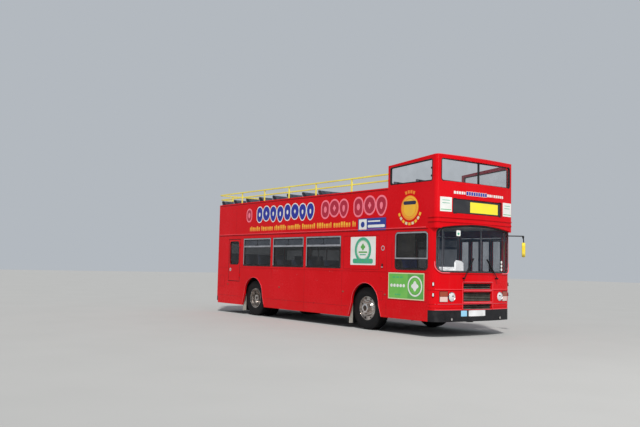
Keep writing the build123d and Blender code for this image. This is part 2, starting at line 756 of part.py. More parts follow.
def build_lower_floor():
    """Floor panels between the wheel boxes, the entrance steps, and the deck over the engine."""
    z = (FLOOR_UNDER_Z, LOWER_FLOOR_Z)
    y = INNER_Y - SEAT_GAP
    box_y = WHEEL_BOX_INNER_Y - SEAT_GAP
    half = WHEEL_BOX_HALF + SEAT_GAP
    well = (DOOR_REAR_X, DOOR_FRONT_X)
    well_in = INNER_Y - STEP_DEPTH - MID_STEP_DEPTH
    edges = [BULKHEAD_X, REAR_AXLE_X - half, REAR_AXLE_X + half, FRONT_AXLE_X - half, FRONT_AXLE_X + half]
    edges += [well[0] - STEP_T, well[1] + STEP_T, HALF_L - FLOOR_SETBACK]
    widths = [(-y, y), (-box_y, box_y), (-y, y), (-box_y, box_y), (-y, y), (-y, well_in - STEP_T), (-y, y)]
    panels = []
    for k, width in enumerate(widths):
        panel = block((edges[k] + SEAT_GAP, edges[k + 1]), width, z)
        panels.append(panel & lower_fill(z, WALL + SEAT_GAP))
    mid_in = INNER_Y - STEP_DEPTH
    under = STEP_Z - STEP_T
    steps = block(well, (mid_in, HALF_W), (under, STEP_Z))
    steps += block(well, (mid_in - STEP_T, mid_in), (under, MID_STEP_Z))
    steps += block(well, (well_in, mid_in), (MID_STEP_Z - STEP_T, MID_STEP_Z))
    steps += block(well, (well_in - STEP_T + SEAT_GAP, well_in), (MID_STEP_Z - STEP_T, z[1]))
    for x in (well[0] - STEP_T + SEAT_GAP, well[1]):
        end = block((x, x + STEP_T - SEAT_GAP), (mid_in - STEP_T, y), (under, z[1]))
        end += block((x, x + STEP_T - SEAT_GAP), (well_in - STEP_T + SEAT_GAP, mid_in), (MID_STEP_Z - STEP_T, z[1]))
        steps += end
    panels.append(steps)
    deck_z = (REAR_DECK_Z - STEP_T, REAR_DECK_Z)
    panels.append(block((BULKHEAD_X - STEP_T, BULKHEAD_X), (-y, y), (z[0], REAR_DECK_Z)))
    deck = block((-HALF_L, BULKHEAD_X - STEP_T - SEAT_GAP), (-y, y), deck_z)
    panels.append(deck & lower_fill(deck_z, WALL + SEAT_GAP))
    keep("lower_floor", *panels)


def build_upper_floor():
    """The upper deck's floor in three panels round the stairwell."""
    z = (UPPER_FLOOR_Z - UPPER_FLOOR_T, UPPER_FLOOR_Z)
    inside = upper_fill(z, WALL + SEAT_GAP)
    well = (STAIR_X[0] + STAIRWELL_FOOT, STAIR_X[1])
    spans = [
        ((-HALF_L, well[0]), (-HALF_W, HALF_W)),
        ((well[0] + SEAT_GAP, well[1] - SEAT_GAP), (STAIR_INNER_Y, HALF_W)),
        ((well[1], HALF_L), (-HALF_W, HALF_W)),
    ]
    keep("upper_floor", *[block(x, y, z) & inside for x, y in spans])


def build_wheel_boxes():
    """Rounded boxes over the wheels, open at the side panel's arch, with mudflaps behind the wheels."""
    t = WHEEL_BOX_T
    deep = FLOOR_UNDER_Z - 2 * WHEEL_BOX_R
    boxes = []
    for axle in AXLES_X:
        for side in SIDES:
            span = around(axle, WHEEL_BOX_HALF)
            outer = rounded(span, (deep, WHEEL_BOX_TOP_Z), WHEEL_BOX_R)
            inner = rounded(span, (deep, WHEEL_BOX_TOP_Z), WHEEL_BOX_R, t)
            shell = along_y(outer, mirrored(side, (WHEEL_BOX_INNER_Y, INNER_Y - SEAT_GAP)))
            shell -= along_y(inner, mirrored(side, (WHEEL_BOX_INNER_Y + t, HALF_W)))
            shell &= block(around(axle, HALF_L), (-WIDTH, WIDTH), (FLOOR_UNDER_Z, UPPER_FLOOR_Z))
            flap_y = mirrored(side, (INNER_Y - SEAT_GAP - MUDFLAP_W, INNER_Y - SEAT_GAP))
            flap_x = (span[0], span[0] + MUDFLAP_T)
            shell += block(flap_x, flap_y, (MUDFLAP_Z, FLOOR_UNDER_Z + t))
            boxes.append(shell)
    keep("wheel_boxes", *boxes)


def driver_window(shrink=0.0):
    return rounded(DRIVER_WINDOW_X, (SILL_Z, DRIVER_WINDOW_TOP_Z), DRIVER_WINDOW_R, shrink)


def build_sides():
    lower, pillars, upper = [], [], []
    for side in SIDES:
        through = wall_y(side, -WALL, 3 * WALL)
        panel = block((REAR_SEAM_X, FRONT_SEAM_X), wall_y(side), (SKIRT_Z, SILL_Z))
        waist = (WAIST_Z, WAIST_Z + WAIST_H)
        panel += block((REAR_SEAM_X, FRONT_SEAM_X), proud_y(side, WAIST_PROUD), waist)
        for axle in AXLES_X:
            lip = along_y(arch_profile(axle, ARCH_LIP_W), proud_y(side, ARCH_LIP_PROUD))
            panel += lip & block((REAR_SEAM_X, FRONT_SEAM_X), (-WIDTH, WIDTH), (SKIRT_Z, SILL_Z))
            panel -= along_y(arch_profile(axle), through)
        panel -= block((FRONT_AXLE_X, FRONT_SEAM_X + WALL), through, (0, BUMPER_Z))
        top = block((REAR_SEAM_X, FRONT_SEAM_X), wall_y(side), (HEAD_Z, PARAPET_Z))
        drip_x = (REAR_SEAM_X, FRONT_SEAM_X)
        top += block(drip_x, proud_y(side, DRIP_PROUD), (DRIP_Z, DRIP_Z + DRIP_H))
        cap_y = mirrored(side, (INNER_Y - CAP_PROUD, HALF_W + CAP_PROUD))
        top += block((REAR_SEAM_X, SIDE_SCREEN_X), cap_y, (PARAPET_Z - CAP_H, PARAPET_Z))
        edges = [x for bay in window_bays(side) for x in bay[::-1]]
        if side == OFFSIDE:
            hole = along_y(driver_window(), through)
            top -= hole
            panel -= block(EXIT_X, through, (EXIT_Z, 2 * SILL_Z))
            ends = [FRONT_SEAM_X, *edges, EXIT_X[1]]
            last = (EXIT_X[0], REAR_SEAM_X)
        else:
            doorway = (DOOR_REAR_X, DOOR_FRONT_X)
            panel -= block(doorway, through, (0, 2 * SILL_Z))
            ends = [DOOR_REAR_X, *edges, REAR_SEAM_X]
            last = (DOOR_FRONT_X, FRONT_SEAM_X)
        runs = [(ends[k], ends[k + 1]) for k in range(0, len(ends), 2)] + [last]
        for run in runs:
            pillar = block(run, wall_y(side), (SILL_Z, HEAD_Z))
            pillars.append(pillar - hole if side == OFFSIDE and run[0] == FRONT_SEAM_X else pillar)
        lower.append(panel)
        upper.append(top)
    keep("lower_side_panels", *lower)
    keep("window_pillars", *pillars)
    keep("upper_side_panels", *upper)


def build_front():
    """The front mouldings: grille, lamps and windscreen below, destination box above."""
    ahead = (FRONT_SEAM_X - FRONT_MODULE_L, 2 * HALF_L)
    opening = along_x(windscreen_profile(), *ahead)
    panel = front_end(lower_ring((BUMPER_TOP_Z, SCREEN_SIDE_TOP_Z)))
    for z in FRONT_BEADS:
        panel += front_end(lower_ring(z, -BEAD_PROUD, WALL))
    lip = windscreen_profile(-SCREEN_LIP_OUT) - windscreen_profile(-SCREEN_LIP_OUT + SCREEN_LIP_W)
    lip_z = (SCREEN_Z - 2 * SCREEN_LIP_OUT, SCREEN_SIDE_TOP_Z)
    panel += front_end(lower_ring(lip_z, -SCREEN_LIP_PROUD, WALL)) & along_x(lip, *ahead)
    inner_y = GRILLE_HALF_W + SURROUND_GAP
    surround = rectangle(around(0, inner_y + SURROUND_W), (BUMPER_TOP_Z, GRILLE_SLOTS[-1][1] + 2 * SURROUND_W))
    surround -= rectangle(around(0, inner_y), (0, GRILLE_SLOTS[-1][1] + SURROUND_W))
    raised = lower_ring((BUMPER_TOP_Z, SCREEN_Z - 2 * SCREEN_LIP_OUT), -BEAD_PROUD, WALL)
    panel += front_end(raised) & along_x(surround, *ahead)
    for z in FRONT_GROOVES:
        panel -= front_end(lower_ring(z, -BEAD_PROUD, GROOVE_DEPTH + BEAD_PROUD))
    panel -= opening
    for z in GRILLE_SLOTS:
        panel -= block((HALF_L - 3 * WALL, 2 * HALF_L), (-GRILLE_HALF_W, GRILLE_HALF_W), z)
    for side in SIDES:
        centre = (HALF_L, side * HEADLAMP_Y, HEADLAMP_Z)
        panel -= rod(centre, HEADLAMP_R + LAMP_FIT, FRONT_MODULE_L, ALONG_X)
        panel -= block((HALF_L - FRONT_MODULE_L, 2 * HALF_L), mirrored(side, SIDELAMP_Y), SIDELAMP_Z)
    keep("front_lower_panel", panel)

    fascia = front_end(upper_ring((SCREEN_SIDE_TOP_Z, PARAPET_Z)))
    for z in PEAK_BEADS:
        fascia += front_end(upper_ring(z, -PEAK_PROUD, WALL))
    visor_z = (SCREEN_SIDE_TOP_Z, SCREEN_CROWN_Z + 2 * SCREEN_LIP_OUT)
    fascia += front_end(upper_ring(visor_z, -SCREEN_LIP_PROUD, WALL)) & along_x(lip, *ahead)
    fascia -= opening
    recess = front_end(upper_ring(DEST_Z, -2 * BEAD_PROUD, DEST_DEPTH + 2 * BEAD_PROUD))
    fascia -= recess & along_x(rounded(around(0, DEST_HALF_W), DEST_Z, DEST_R), *ahead)
    keep("upper_front_panel", fascia)

    bumper = front_end(lower_ring((BUMPER_Z, BUMPER_TOP_Z)))
    tail = rear_end(lower_ring((BUMPER_Z, COVER_Z[0] - COVER_GAP)))
    keep("bumpers", bumper, tail)


def build_grille():
    """Banks of sloping blades held by three posts behind the front moulding."""
    post_y = GRILLE_HALF_W + GRILLE_POST * 0.7
    back = front_back_x(post_y + GRILLE_POST / 2) - SEAT_GAP
    z = (GRILLE_SLOTS[0][0], GRILLE_SLOTS[-1][1])
    grille = None
    for y in (-post_y, 0, post_y):
        post = block((back - GRILLE_POST, back), around(y, GRILLE_POST / 2), z)
        grille = post if grille is None else grille + post
    for low, high in GRILLE_SLOTS:
        count = int((high - low) // BLADE_PITCH)
        for k in range(count):
            blade_z = low + (k + 0.5) * (high - low) / count
            blade = Rotation(0, BLADE_TILT, 0) * Box(BLADE_W, 2 * GRILLE_HALF_W - 2, BLADE_T)
            grille += Pos(back + 2, 0, blade_z) * blade
        tie = (back - GRILLE_POST, back - GRILLE_POST + BLADE_T * 2)
        grille += block(tie, (-post_y, post_y), around((low + high) / 2, GRILLE_POST / 3))
    keep("front_grille", grille)


def side_screen_profile(shrink=0.0):
    """The opening in each side of the upper wind screen, whose top slopes down to the rear."""
    slope = SCREEN_DROP / SIDE_SCREEN_L
    rear, front = SIDE_SCREEN_X + SIDE_SCREEN_POST, HALF_L - SIDE_SCREEN_FRONT
    low = UPPER_SCREEN_Z[0]
    rails = zip((rear, front), SIDE_SCREEN_RAILS)
    high = [SCREEN_TOP_Z - slope * (HALF_L - x) - rail for x, rail in rails]
    corners = [
        (rear + shrink, low + shrink),
        (front - shrink, low + shrink),
        (front - shrink, high[1] - shrink),
        (rear + shrink, high[0] - shrink),
    ]
    face = make_face(Polyline(*corners, close=True))
    return fillet(face.vertices(), SIDE_SCREEN_R - shrink)


def build_upper_screen():
    frame = upper_ring((PARAPET_Z, SCREEN_TOP_Z), 0, SCREEN_FRAME_T)
    frame &= block((SIDE_SCREEN_X, 2 * HALF_L), (-WIDTH, WIDTH), TALL)
    pane = rounded(around(0, UPPER_SCREEN_HALF_W), UPPER_SCREEN_Z, UPPER_SCREEN_R)
    frame -= along_x(pane, HALF_L - 3 * WALL, 2 * HALF_L)
    slope = SCREEN_DROP / SIDE_SCREEN_L
    far = 2 * SIDE_SCREEN_L
    wedge = [(HALF_L, SCREEN_TOP_Z), (HALF_L, SCREEN_TOP_Z + far)]
    wedge += [(HALF_L - far, SCREEN_TOP_Z + far), (HALF_L - far, SCREEN_TOP_Z - slope * far)]
    frame -= along_y(make_face(Polyline(*wedge, close=True)), (-WIDTH, WIDTH))
    frame -= along_y(side_screen_profile(), (-WIDTH, WIDTH))
    bar_x = HALF_L - SCREEN_FRAME_T / 2
    bar_z = (UPPER_SCREEN_Z[0] - 5, UPPER_SCREEN_Z[1] + 5)
    frame += block(around(bar_x, SCREEN_FRAME_T / 3), around(0, UPPER_SCREEN_BAR / 2), bar_z)
    keep("upper_screen_frame", frame)


def build_glass():
    ahead = (FRONT_SEAM_X, 2 * HALF_L)
    z = (SCREEN_Z, SCREEN_CROWN_Z)
    screen = front_end(lower_ring(z, GLASS_INSET, SCREEN_GLASS_T))
    keep("windscreen_glass", screen & along_x(windscreen_profile(SEAT_GAP), *ahead))

    panes = []
    for side in SIDES:
        y = wall_y(side, GLASS_INSET, GLASS_T)
        panes += [block(bay, y, (SILL_Z, HEAD_Z)) for bay in window_bays(side)]
        panes.append(along_y(side_screen_profile(SEAT_GAP), y))
    panes.append(along_y(driver_window(SEAT_GAP), wall_y(OFFSIDE, GLASS_INSET, GLASS_T)))
    half_bar = UPPER_SCREEN_BAR / 2 + SEAT_GAP
    for side in SIDES:
        pane = upper_ring(UPPER_SCREEN_Z, GLASS_INSET, GLASS_T)
        shape = rounded(around(0, UPPER_SCREEN_HALF_W), UPPER_SCREEN_Z, UPPER_SCREEN_R, SEAT_GAP)
        pane &= along_x(shape, *ahead)
        panes.append(pane & block(ahead, mirrored(side, (half_bar, HALF_W)), TALL))
    rear = rear_end(lower_ring(REAR_WINDOW_Z, GLASS_INSET, GLASS_T))
    panes.append(rear & block((-2 * HALF_L, 0), around(0, REAR_WINDOW_HALF_W), TALL))
    box = front_end(upper_ring(DEST_Z, DEST_DEPTH - GLASS_T - SEAT_GAP, GLASS_T))
    panes.append(box & along_x(rounded(around(0, DEST_HALF_W), DEST_Z, DEST_R, SEAT_GAP), *ahead))
    keep("window_glass", *panes)

    frames = []
    for side in SIDES:
        y = mirrored(side, (HALF_W - GLASS_INSET + SEAT_GAP, HALF_W + FRAME_PROUD))
        for bay in window_bays(side):
            outer = rectangle(bay, (SILL_Z, HEAD_Z))
            inner = rounded(bay, (SILL_Z, HEAD_Z), FRAME_R + FRAME_W, FRAME_W)
            frame = along_y(outer - inner, y)
            bar = block((bay[0] + FRAME_W - 1, bay[1] - FRAME_W + 1), y, (HOPPER_Z, HOPPER_Z + FRAME_W))
            frames.append(frame + bar)
    y = mirrored(OFFSIDE, (HALF_W - GLASS_INSET + SEAT_GAP, HALF_W + FRAME_PROUD))
    frame = along_y(driver_window() - driver_window(FRAME_W), y)
    bar_x = (DRIVER_WINDOW_X[0] + FRAME_W - 1, DRIVER_WINDOW_X[1] - FRAME_W + 1)
    frame += block(bar_x, y, (DRIVER_WINDOW_BAR_Z, DRIVER_WINDOW_BAR_Z + FRAME_W))
    frames.append(frame)
    keep("window_frames", *frames)


def build_rear():
    """The rear wall, and the top-hinged engine cover in it."""
    back = (-2 * HALF_L, REAR_SEAM_X)
    wall = rear_end(lower_ring((COVER_Z[0] - COVER_GAP, PARAPET_Z)))
    cut_z = (COVER_Z[0] - 2 * COVER_GAP, COVER_Z[1] + COVER_GAP)
    wall -= block(back, around(0, COVER_HALF_W + COVER_GAP), cut_z)
    wall -= block(back, around(0, REAR_WINDOW_HALF_W), REAR_WINDOW_Z)
    cover = rear_end(lower_ring(COVER_Z)) & block(back, around(0, COVER_HALF_W), COVER_Z)
    pin_x = -HALF_L - COVER_HINGE_OUT
    pin_z = COVER_Z[1] + COVER_GAP
    for k in (-2, -1, 0, 1, 2):
        centre = (pin_x, k * COVER_HALF_W / 4, pin_z)
        knuckle = rod(centre, COVER_HINGE_R, COVER_HALF_W / 4 - 2 * SEAT_GAP, ALONG_Y)
        y = around(centre[1], COVER_HALF_W / 8 - SEAT_GAP)
        if k % 2 == 0:
            x = (pin_x, rear_face_x(y[1]) + 2 * COVER_HINGE_R)
            cover += knuckle + block(x, y, (COVER_Z[1] - 2 * COVER_HINGE_R, COVER_Z[1]))
            cover += block(around(pin_x, COVER_HINGE_R), y, (COVER_Z[1] - COVER_HINGE_R, pin_z))
        else:
            x = (pin_x, rear_face_x(y[1]) + 2 * COVER_HINGE_R)
            wall += knuckle + block(x, y, (pin_z, pin_z + COVER_HINGE_R))
    keep("rear_panel", wall)
    keep("engine_cover", cover)


def build_exit_door():
    """The emergency door behind the last offside window, hinged at its front edge."""
    x = (EXIT_X[0] + EXIT_GAP, EXIT_X[1] - EXIT_GAP)
    z = (EXIT_Z + EXIT_GAP, HEAD_Z - EXIT_GAP)
    skin = wall_y(OFFSIDE, 0, EXIT_T)
    window = ((x[0] + EXIT_STILE, x[1] - EXIT_STILE), (SILL_Z + EXIT_STILE / 2, z[1] - EXIT_STILE))
    door = block(x, skin, z) - along_y(rounded(*window, DRIVER_WINDOW_R), wall_y(OFFSIDE, -WALL, 3 * WALL))
    pane = along_y(rounded(*window, DRIVER_WINDOW_R, SEAT_GAP), wall_y(OFFSIDE, GLASS_INSET, GLASS_T))
    keep("emergency_door_glass", pane)
    pin_y = -HALF_W - EXIT_HINGE_OUT
    for hinge_z in (z[0] + 2 * EXIT_HINGE_H, z[1] - 2 * EXIT_HINGE_H):
        door += rod((EXIT_X[1], pin_y, hinge_z), EXIT_HINGE_R, EXIT_HINGE_H, UPRIGHT)
        plate_y = (pin_y - EXIT_HINGE_R / 2, -HALF_W + 1)
        door += block((x[1] - EXIT_HINGE_H / 2, EXIT_X[1]), plate_y, around(hinge_z, EXIT_HINGE_H / 2))
    keep("emergency_door", door)


def build_doors():
    """Two folding pairs. Each outer leaf turns on its post, and its inner leaf is hinged to it."""
    pair_w = DOORWAY_W / 2 - DOOR_MEET_GAP / 2 - DOOR_POST_GAP
    length = pair_w / 2
    z = (DOOR_BOTTOM_Z, HEAD_Z - DOOR_INSET)
    y = (DOOR_OUTER_Y - DOOR_T, DOOR_OUTER_Y)
    plate_y = (DOOR_OUTER_Y - 1, DOOR_FOLD_Y + 2)
    pane_y = around(DOOR_MID_Y, GLASS_T / 2)
    for name, post, way in (("front", DOOR_FRONT_X, -1), ("rear", DOOR_REAR_X, 1)):
        pivot = post + way * DOOR_POST_GAP
        fold = pivot + way * length
        spans = {
            "outer": (pivot - way * DOOR_LEAF_END, fold - way * 5),
            "inner": (fold + way * 5, fold + way * (length - 2)),
        }
        for leaf_name, span in spans.items():
            leaf = block(span, y, z)
            u = (min(span) + DOOR_STILE, max(span) - DOOR_STILE)
            glass = []
            for v in ((z[0] + 120, DOOR_RAIL_Z[0]), (DOOR_RAIL_Z[1], z[1] - 70)):
                leaf -= along_y(rounded(u, v, DOOR_PANE_R), (y[0] - WALL, y[1] + WALL))
                glass.append(along_y(rounded(u, v, DOOR_PANE_R, SEAT_GAP), pane_y))
            inward = -way if leaf_name == "outer" else way
            for hinge_z in (z[0] + 90, z[1] - 90):
                low = hinge_z - HINGE_H if leaf_name == "outer" else hinge_z + SEAT_GAP
                knuckle_z = (low, low + HINGE_H)
                leaf += block((fold + inward * HINGE_PLATE, fold), plate_y, knuckle_z)
                leaf += rod((fold, DOOR_FOLD_Y, sum(knuckle_z) / 2), HINGE_R, HINGE_H, UPRIGHT)
            if leaf_name == "outer":
                for low, high in ((STEP_Z + SEAT_GAP, z[0] + 1), (z[1] - 1, HEAD_Z - SEAT_GAP)):
                    leaf += rod((pivot, DOOR_MID_Y, (low + high) / 2), PIVOT_R, high - low, UPRIGHT)
            keep(f"door_{name}_{leaf_name}_leaf", leaf)
            keep(f"door_{name}_{leaf_name}_glass", *glass)


def build_stairs():
    """Stairs that climb forwards to the upper deck, their guard, and the driver's bulkhead."""
    rise = (UPPER_FLOOR_Z - LOWER_FLOOR_Z) / STAIR_STEPS
    going = STAIR_L / (STAIR_STEPS - 1)
    y = (-INNER_Y + SEAT_GAP, STAIR_INNER_Y)
    stairs = None
    for k in range(STAIR_STEPS - 1):
        x = STAIR_X[0] + k * going
        z = LOWER_FLOOR_Z + k * rise
        step = block((x, x + STAIR_T), y, (z, z + rise))
        step += block((x, x + going + STAIR_T), y, (z + rise - STAIR_T, z + rise))
        stairs = step if stairs is None else stairs + step
    guard_z = (UPPER_FLOOR_Z, UPPER_FLOOR_Z + STAIR_GUARD_H)
    foot = STAIR_X[0] + STAIRWELL_FOOT
    guard = block((foot - STAIR_T, STAIR_X[1] - 2 * STAIR_T), (STAIR_INNER_Y, STAIR_INNER_Y + STAIR_T), guard_z)
    guard += block((foot - STAIR_T, foot), (-INNER_Y + SEAT_GAP, STAIR_INNER_Y + STAIR_T), guard_z)
    wall_x = STAIR_X[1] + BULKHEAD_GAP
    wall_z = (LOWER_FLOOR_Z, UPPER_FLOOR_Z - UPPER_FLOOR_T)
    bulkhead = block((wall_x, wall_x + STEP_T), (-INNER_Y + SEAT_GAP, BULKHEAD_INNER_Y), wall_z)
    keep("staircase", stairs, guard, bulkhead)


def seat(x, y, base_z, leg_h=0.0):
    """A seat with its back's rear foot at x: a cushion, a raked back, and legs if leg_h is given."""
    low, top = base_z + CUSHION_Z - CUSHION_T, base_z + CUSHION_Z
    start = x + BACK_RAKE + BACK_T + SEAT_GAP
    cushion = [(start, low), (start + CUSHION_L, low), (start + CUSHION_L, top), (start, top - 15)]
    back_top = base_z + BACK_Z
    back = [
        (x + BACK_RAKE, low),
        (x + BACK_RAKE + BACK_T, low),
        (x + BACK_RAKE + BACK_T, top),
        (x + BACK_T, back_top),
        (x, back_top),
    ]
    solids = [along_y(make_face(Polyline(*line, close=True)), y) for line in (cushion, back)]
    if leg_h:
        for leg_y in (min(y) + LEG_INSET, max(y) - LEG_INSET):
            leg_x = (start + CUSHION_L / 4, start + CUSHION_L * 3 / 4)
            solids.append(block(leg_x, around(leg_y, LEG_W / 2), (low - leg_h, low - SEAT_GAP)))
    return solids


def build_seats():
    solids = []
    outer = INNER_Y - WALL_CLEARANCE
    leg_h = CUSHION_Z - CUSHION_T
    for side, first in ((NEARSIDE, LOWER_ROWS[0]), (OFFSIDE, LOWER_ROWS[1])):
        x = FRONT_AXLE_X - first
        while x > REAR_AXLE_X + WHEEL_BOX_HALF + BACK_T:
            solids += seat(x, mirrored(side, (AISLE_HALF, outer)), LOWER_FLOOR_Z, leg_h)
            x -= SEAT_PITCH
        for x in (REAR_AXLE_X + 60, REAR_AXLE_X - WHEEL_BOX_HALF + BACK_T / 2):
            base = WHEEL_BOX_TOP_Z - leg_h + SEAT_GAP
            solids += seat(x, mirrored(side, (WHEEL_BOX_INNER_Y + 40, outer)), base)
    bench_x = -HALF_L + 4 * WALL
    bench_y = (-outer + WALL, outer - WALL)
    solids += seat(bench_x, bench_y, REAR_DECK_Z - 100, leg_h - 100)
    x = HALF_L - UPPER_FIRST_ROW
    rear = -HALF_L + 2 * WALL
    stairs = (STAIR_X[0] + STAIRWELL_FOOT - STAIR_T - CUSHION_L - 2 * BACK_RAKE - BACK_T, STAIR_X[1] + JAMB_W)
    while x > rear:
        for side in SIDES:
            if side == NEARSIDE or not stairs[0] < x < stairs[1]:
                solids += seat(x, mirrored(side, (AISLE_HALF, outer)), UPPER_FLOOR_Z, leg_h)
        x -= SEAT_PITCH
    driver_y = around(STEER_Y, DRIVER_SEAT_HALF_W)
    solids += seat(HALF_L - DRIVER_SEAT_BACK, driver_y, LOWER_FLOOR_Z + DRIVER_SEAT_LIFT)
    box = HALF_L - DRIVER_SEAT_BACK + BACK_RAKE + BACK_T
    foot_z = (LOWER_FLOOR_Z, LOWER_FLOOR_Z + DRIVER_SEAT_LIFT + leg_h - SEAT_GAP)
    solids.append(block((box + CUSHION_L / 4, box + CUSHION_L * 3 / 4), around(STEER_Y, CUSHION_L / 4), foot_z))
    keep("seats", *solids)


def steering_frame():
    return Pos(HALF_L - STEER_BACK, STEER_Y, STEER_Z) * Rotation(0, -STEER_TILT, 0)


def build_cab():
    inside = lower_fill((LOWER_FLOOR_Z, SCREEN_Z), WALL + WALL_CLEARANCE / 4)
    x = (HALF_L - DASH_BACK, HALF_L - DASH_BACK + DASH_L)
    dash = block(x, (-HALF_W, DASH_INNER_Y), DASH_Z) & inside
    shelf = (DASH_Z[1] - SHELF_T, DASH_Z[1])
    dash += block((HALF_L - SHELF_L, HALF_L), (-HALF_W, INNER_Y - WALL), shelf) & inside
    for y in ((-INNER_Y + WALL, -INNER_Y + 2 * WALL), (DASH_INNER_Y - 3 * WALL, DASH_INNER_Y)):
        dash += block((x[0] + WALL, x[0] + 4 * WALL), y, (LOWER_FLOOR_Z, DASH_Z[0] + 5))
    dash += steering_frame() * Pos(0, 0, -STEER_RIM_T - COLUMN_L / 2) * Cylinder(COLUMN_R, COLUMN_L)
    keep("dashboard", dash)
    wheel = Cylinder(STEER_R, STEER_RIM_T) - Cylinder(STEER_R - STEER_RIM_W, STEER_RIM_T)
    wheel += Cylinder(STEER_HUB_R, 2 * STEER_RIM_T - 2 * EAR_GAP)
    reach = 2 * STEER_R - STEER_RIM_W
    wheel += Box(reach, STEER_RIM_W, STEER_RIM_T / 2) + Box(STEER_RIM_W, reach, STEER_RIM_T / 2)
    keep("steering_wheel", steering_frame() * wheel)


def rail_plan(y, rear_x, bend):
    """The plan of a box-section rail round the open deck, from the centre line's outer face."""
    half = RAIL_W / 2
    outer = rounded((rear_x - half, 0), around(0, y + half), bend + half)
    inner = rounded((rear_x + half, -RAIL_W), around(0, y - half), bend - half)
    return outer - inner


def build_rails():
    """Box-section guard rails on short posts, along both sides and across the rear."""
    pieces = []
    post_y = HALF_W - POST_INSET - POST_T / 2
    rear_x = -HALF_L + REAR_RAIL_INSET
    front_x = SIDE_SCREEN_X - SEAT_GAP
    inward = POST_T / 2 + RAIL_W / 2 + SEAT_GAP
    for z, shift in ((TOP_RAIL_Z, 0.0), (MID_RAIL_Z, inward)):
        y, x, bend = post_y - shift, rear_x + shift, RAIL_BEND_R - shift
        bent = Pos(0, 0, z - RAIL_W / 2) * extrude(rail_plan(y, x, bend), RAIL_W)
        start = x + RAIL_W / 2 + bend
        pieces.append(bent & block((-2 * HALF_L, start - SEAT_GAP), (y - bend, WIDTH), TALL))
        pieces.append(bent & block((-2 * HALF_L, start - SEAT_GAP), (-WIDTH, bend - y), TALL))
        middle = around(0, y - bend - SEAT_GAP)
        pieces.append(block(around(x, RAIL_W / 2), middle, around(z, RAIL_W / 2)))
        for side in SIDES:
            rail_y = around(side * y, RAIL_W / 2)
            pieces.append(block((start, front_x), rail_y, around(z, RAIL_W / 2)))
    post_z = (PARAPET_Z, TOP_RAIL_Z - RAIL_W / 2 - SEAT_GAP)
    x = SIDE_SCREEN_X - FIRST_POST
    step = SECOND_POST
    while x > rear_x + 2 * RAIL_BEND_R:
        for side in SIDES:
            pieces.append(block(around(x, POST_W / 2), around(side * post_y, POST_T / 2), post_z))
        x -= step
        step = POST_SPACING
    for y in (-REAR_POST_Y, 0, REAR_POST_Y):
        pieces.append(block(around(rear_x, POST_T / 2), around(y, POST_W / 2), post_z))
    keep("guard_rails", *pieces)


def headlamp(y):
    """A round lamp with a domed glass, seated in the front moulding by its flange behind."""
    face = front_face_x(y)
    flange_r = HEADLAMP_R + HEADLAMP_FLANGE
    seat_x = front_back_x(abs(y) + flange_r) - SEAT_GAP
    rim_x = face - 4
    bulge_r = (HEADLAMP_R**2 + HEADLAMP_BULGE**2) / (2 * HEADLAMP_BULGE)
    tip = rim_x + HEADLAMP_BULGE
    half_angle = math.asin(HEADLAMP_R / bulge_r) / 2
    middle = (tip - bulge_r + bulge_r * math.cos(half_angle), bulge_r * math.sin(half_angle))
    edges = [
        Line((seat_x - 7, 0), (seat_x - 7, flange_r)),
        Line((seat_x - 7, flange_r), (seat_x, flange_r)),
        Line((seat_x, flange_r), (seat_x, HEADLAMP_R)),
        Line((seat_x, HEADLAMP_R), (rim_x, HEADLAMP_R)),
        ThreePointArc((rim_x, HEADLAMP_R), middle, (tip, 0)),
        Line((tip, 0), (seat_x - 7, 0)),
    ]
    plane = Plane(origin=(0, y, HEADLAMP_Z), x_dir=(1, 0, 0), z_dir=(0, -1, 0))
    return revolve(plane * make_face(edges), Axis((0, y, HEADLAMP_Z), (1, 0, 0)), 360)


def build_lamps():
    lamps = []
    for side in SIDES:
        lamps.append(headlamp(side * HEADLAMP_Y))
        low, high = SIDELAMP_Z[0] + SEAT_GAP, SIDELAMP_Z[1] - SEAT_GAP
        y = mirrored(side, (SIDELAMP_Y[0] + SEAT_GAP, SIDELAMP_Y[1] - SEAT_GAP))
        x = (HALF_L - FRONT_MODULE_L, 2 * HALF_L)
        lamps.append(front_end(lower_ring((low, high), -2, SIDELAMP_T)) & block(x, y, (low, high)))
        for z in MARKER_Z:
            band = front_end(lower_ring(around(z, MARKER_R), -BEAD_PROUD, BEAD_PROUD - SEAT_GAP))
            x = around(HALF_L - MARKER_X, MARKER_R)
            lamps.append(band & block(x, mirrored(side, (0, WIDTH)), TALL))
        centre = (front_face_x(FOG_LAMP_Y), side * FOG_LAMP_Y, FOG_LAMP_Z)
        fog_lamp = rod(centre, FOG_LAMP_R, 2 * FOG_LAMP_PROUD, ALONG_X)
        lamps.append(fog_lamp - lower_fill(around(FOG_LAMP_Z, 2 * FOG_LAMP_R), -SEAT_GAP))
        for z in REAR_LAMP_Z:
            centre = (rear_face_x(REAR_LAMP_Y), side * REAR_LAMP_Y, z)
            lamp = rod(centre, REAR_LAMP_R, 2 * REAR_LAMP_PROUD, ALONG_X)
            lamps.append(lamp - lower_fill(around(z, 2 * REAR_LAMP_R), -SEAT_GAP))
    keep("lamps", *lamps)


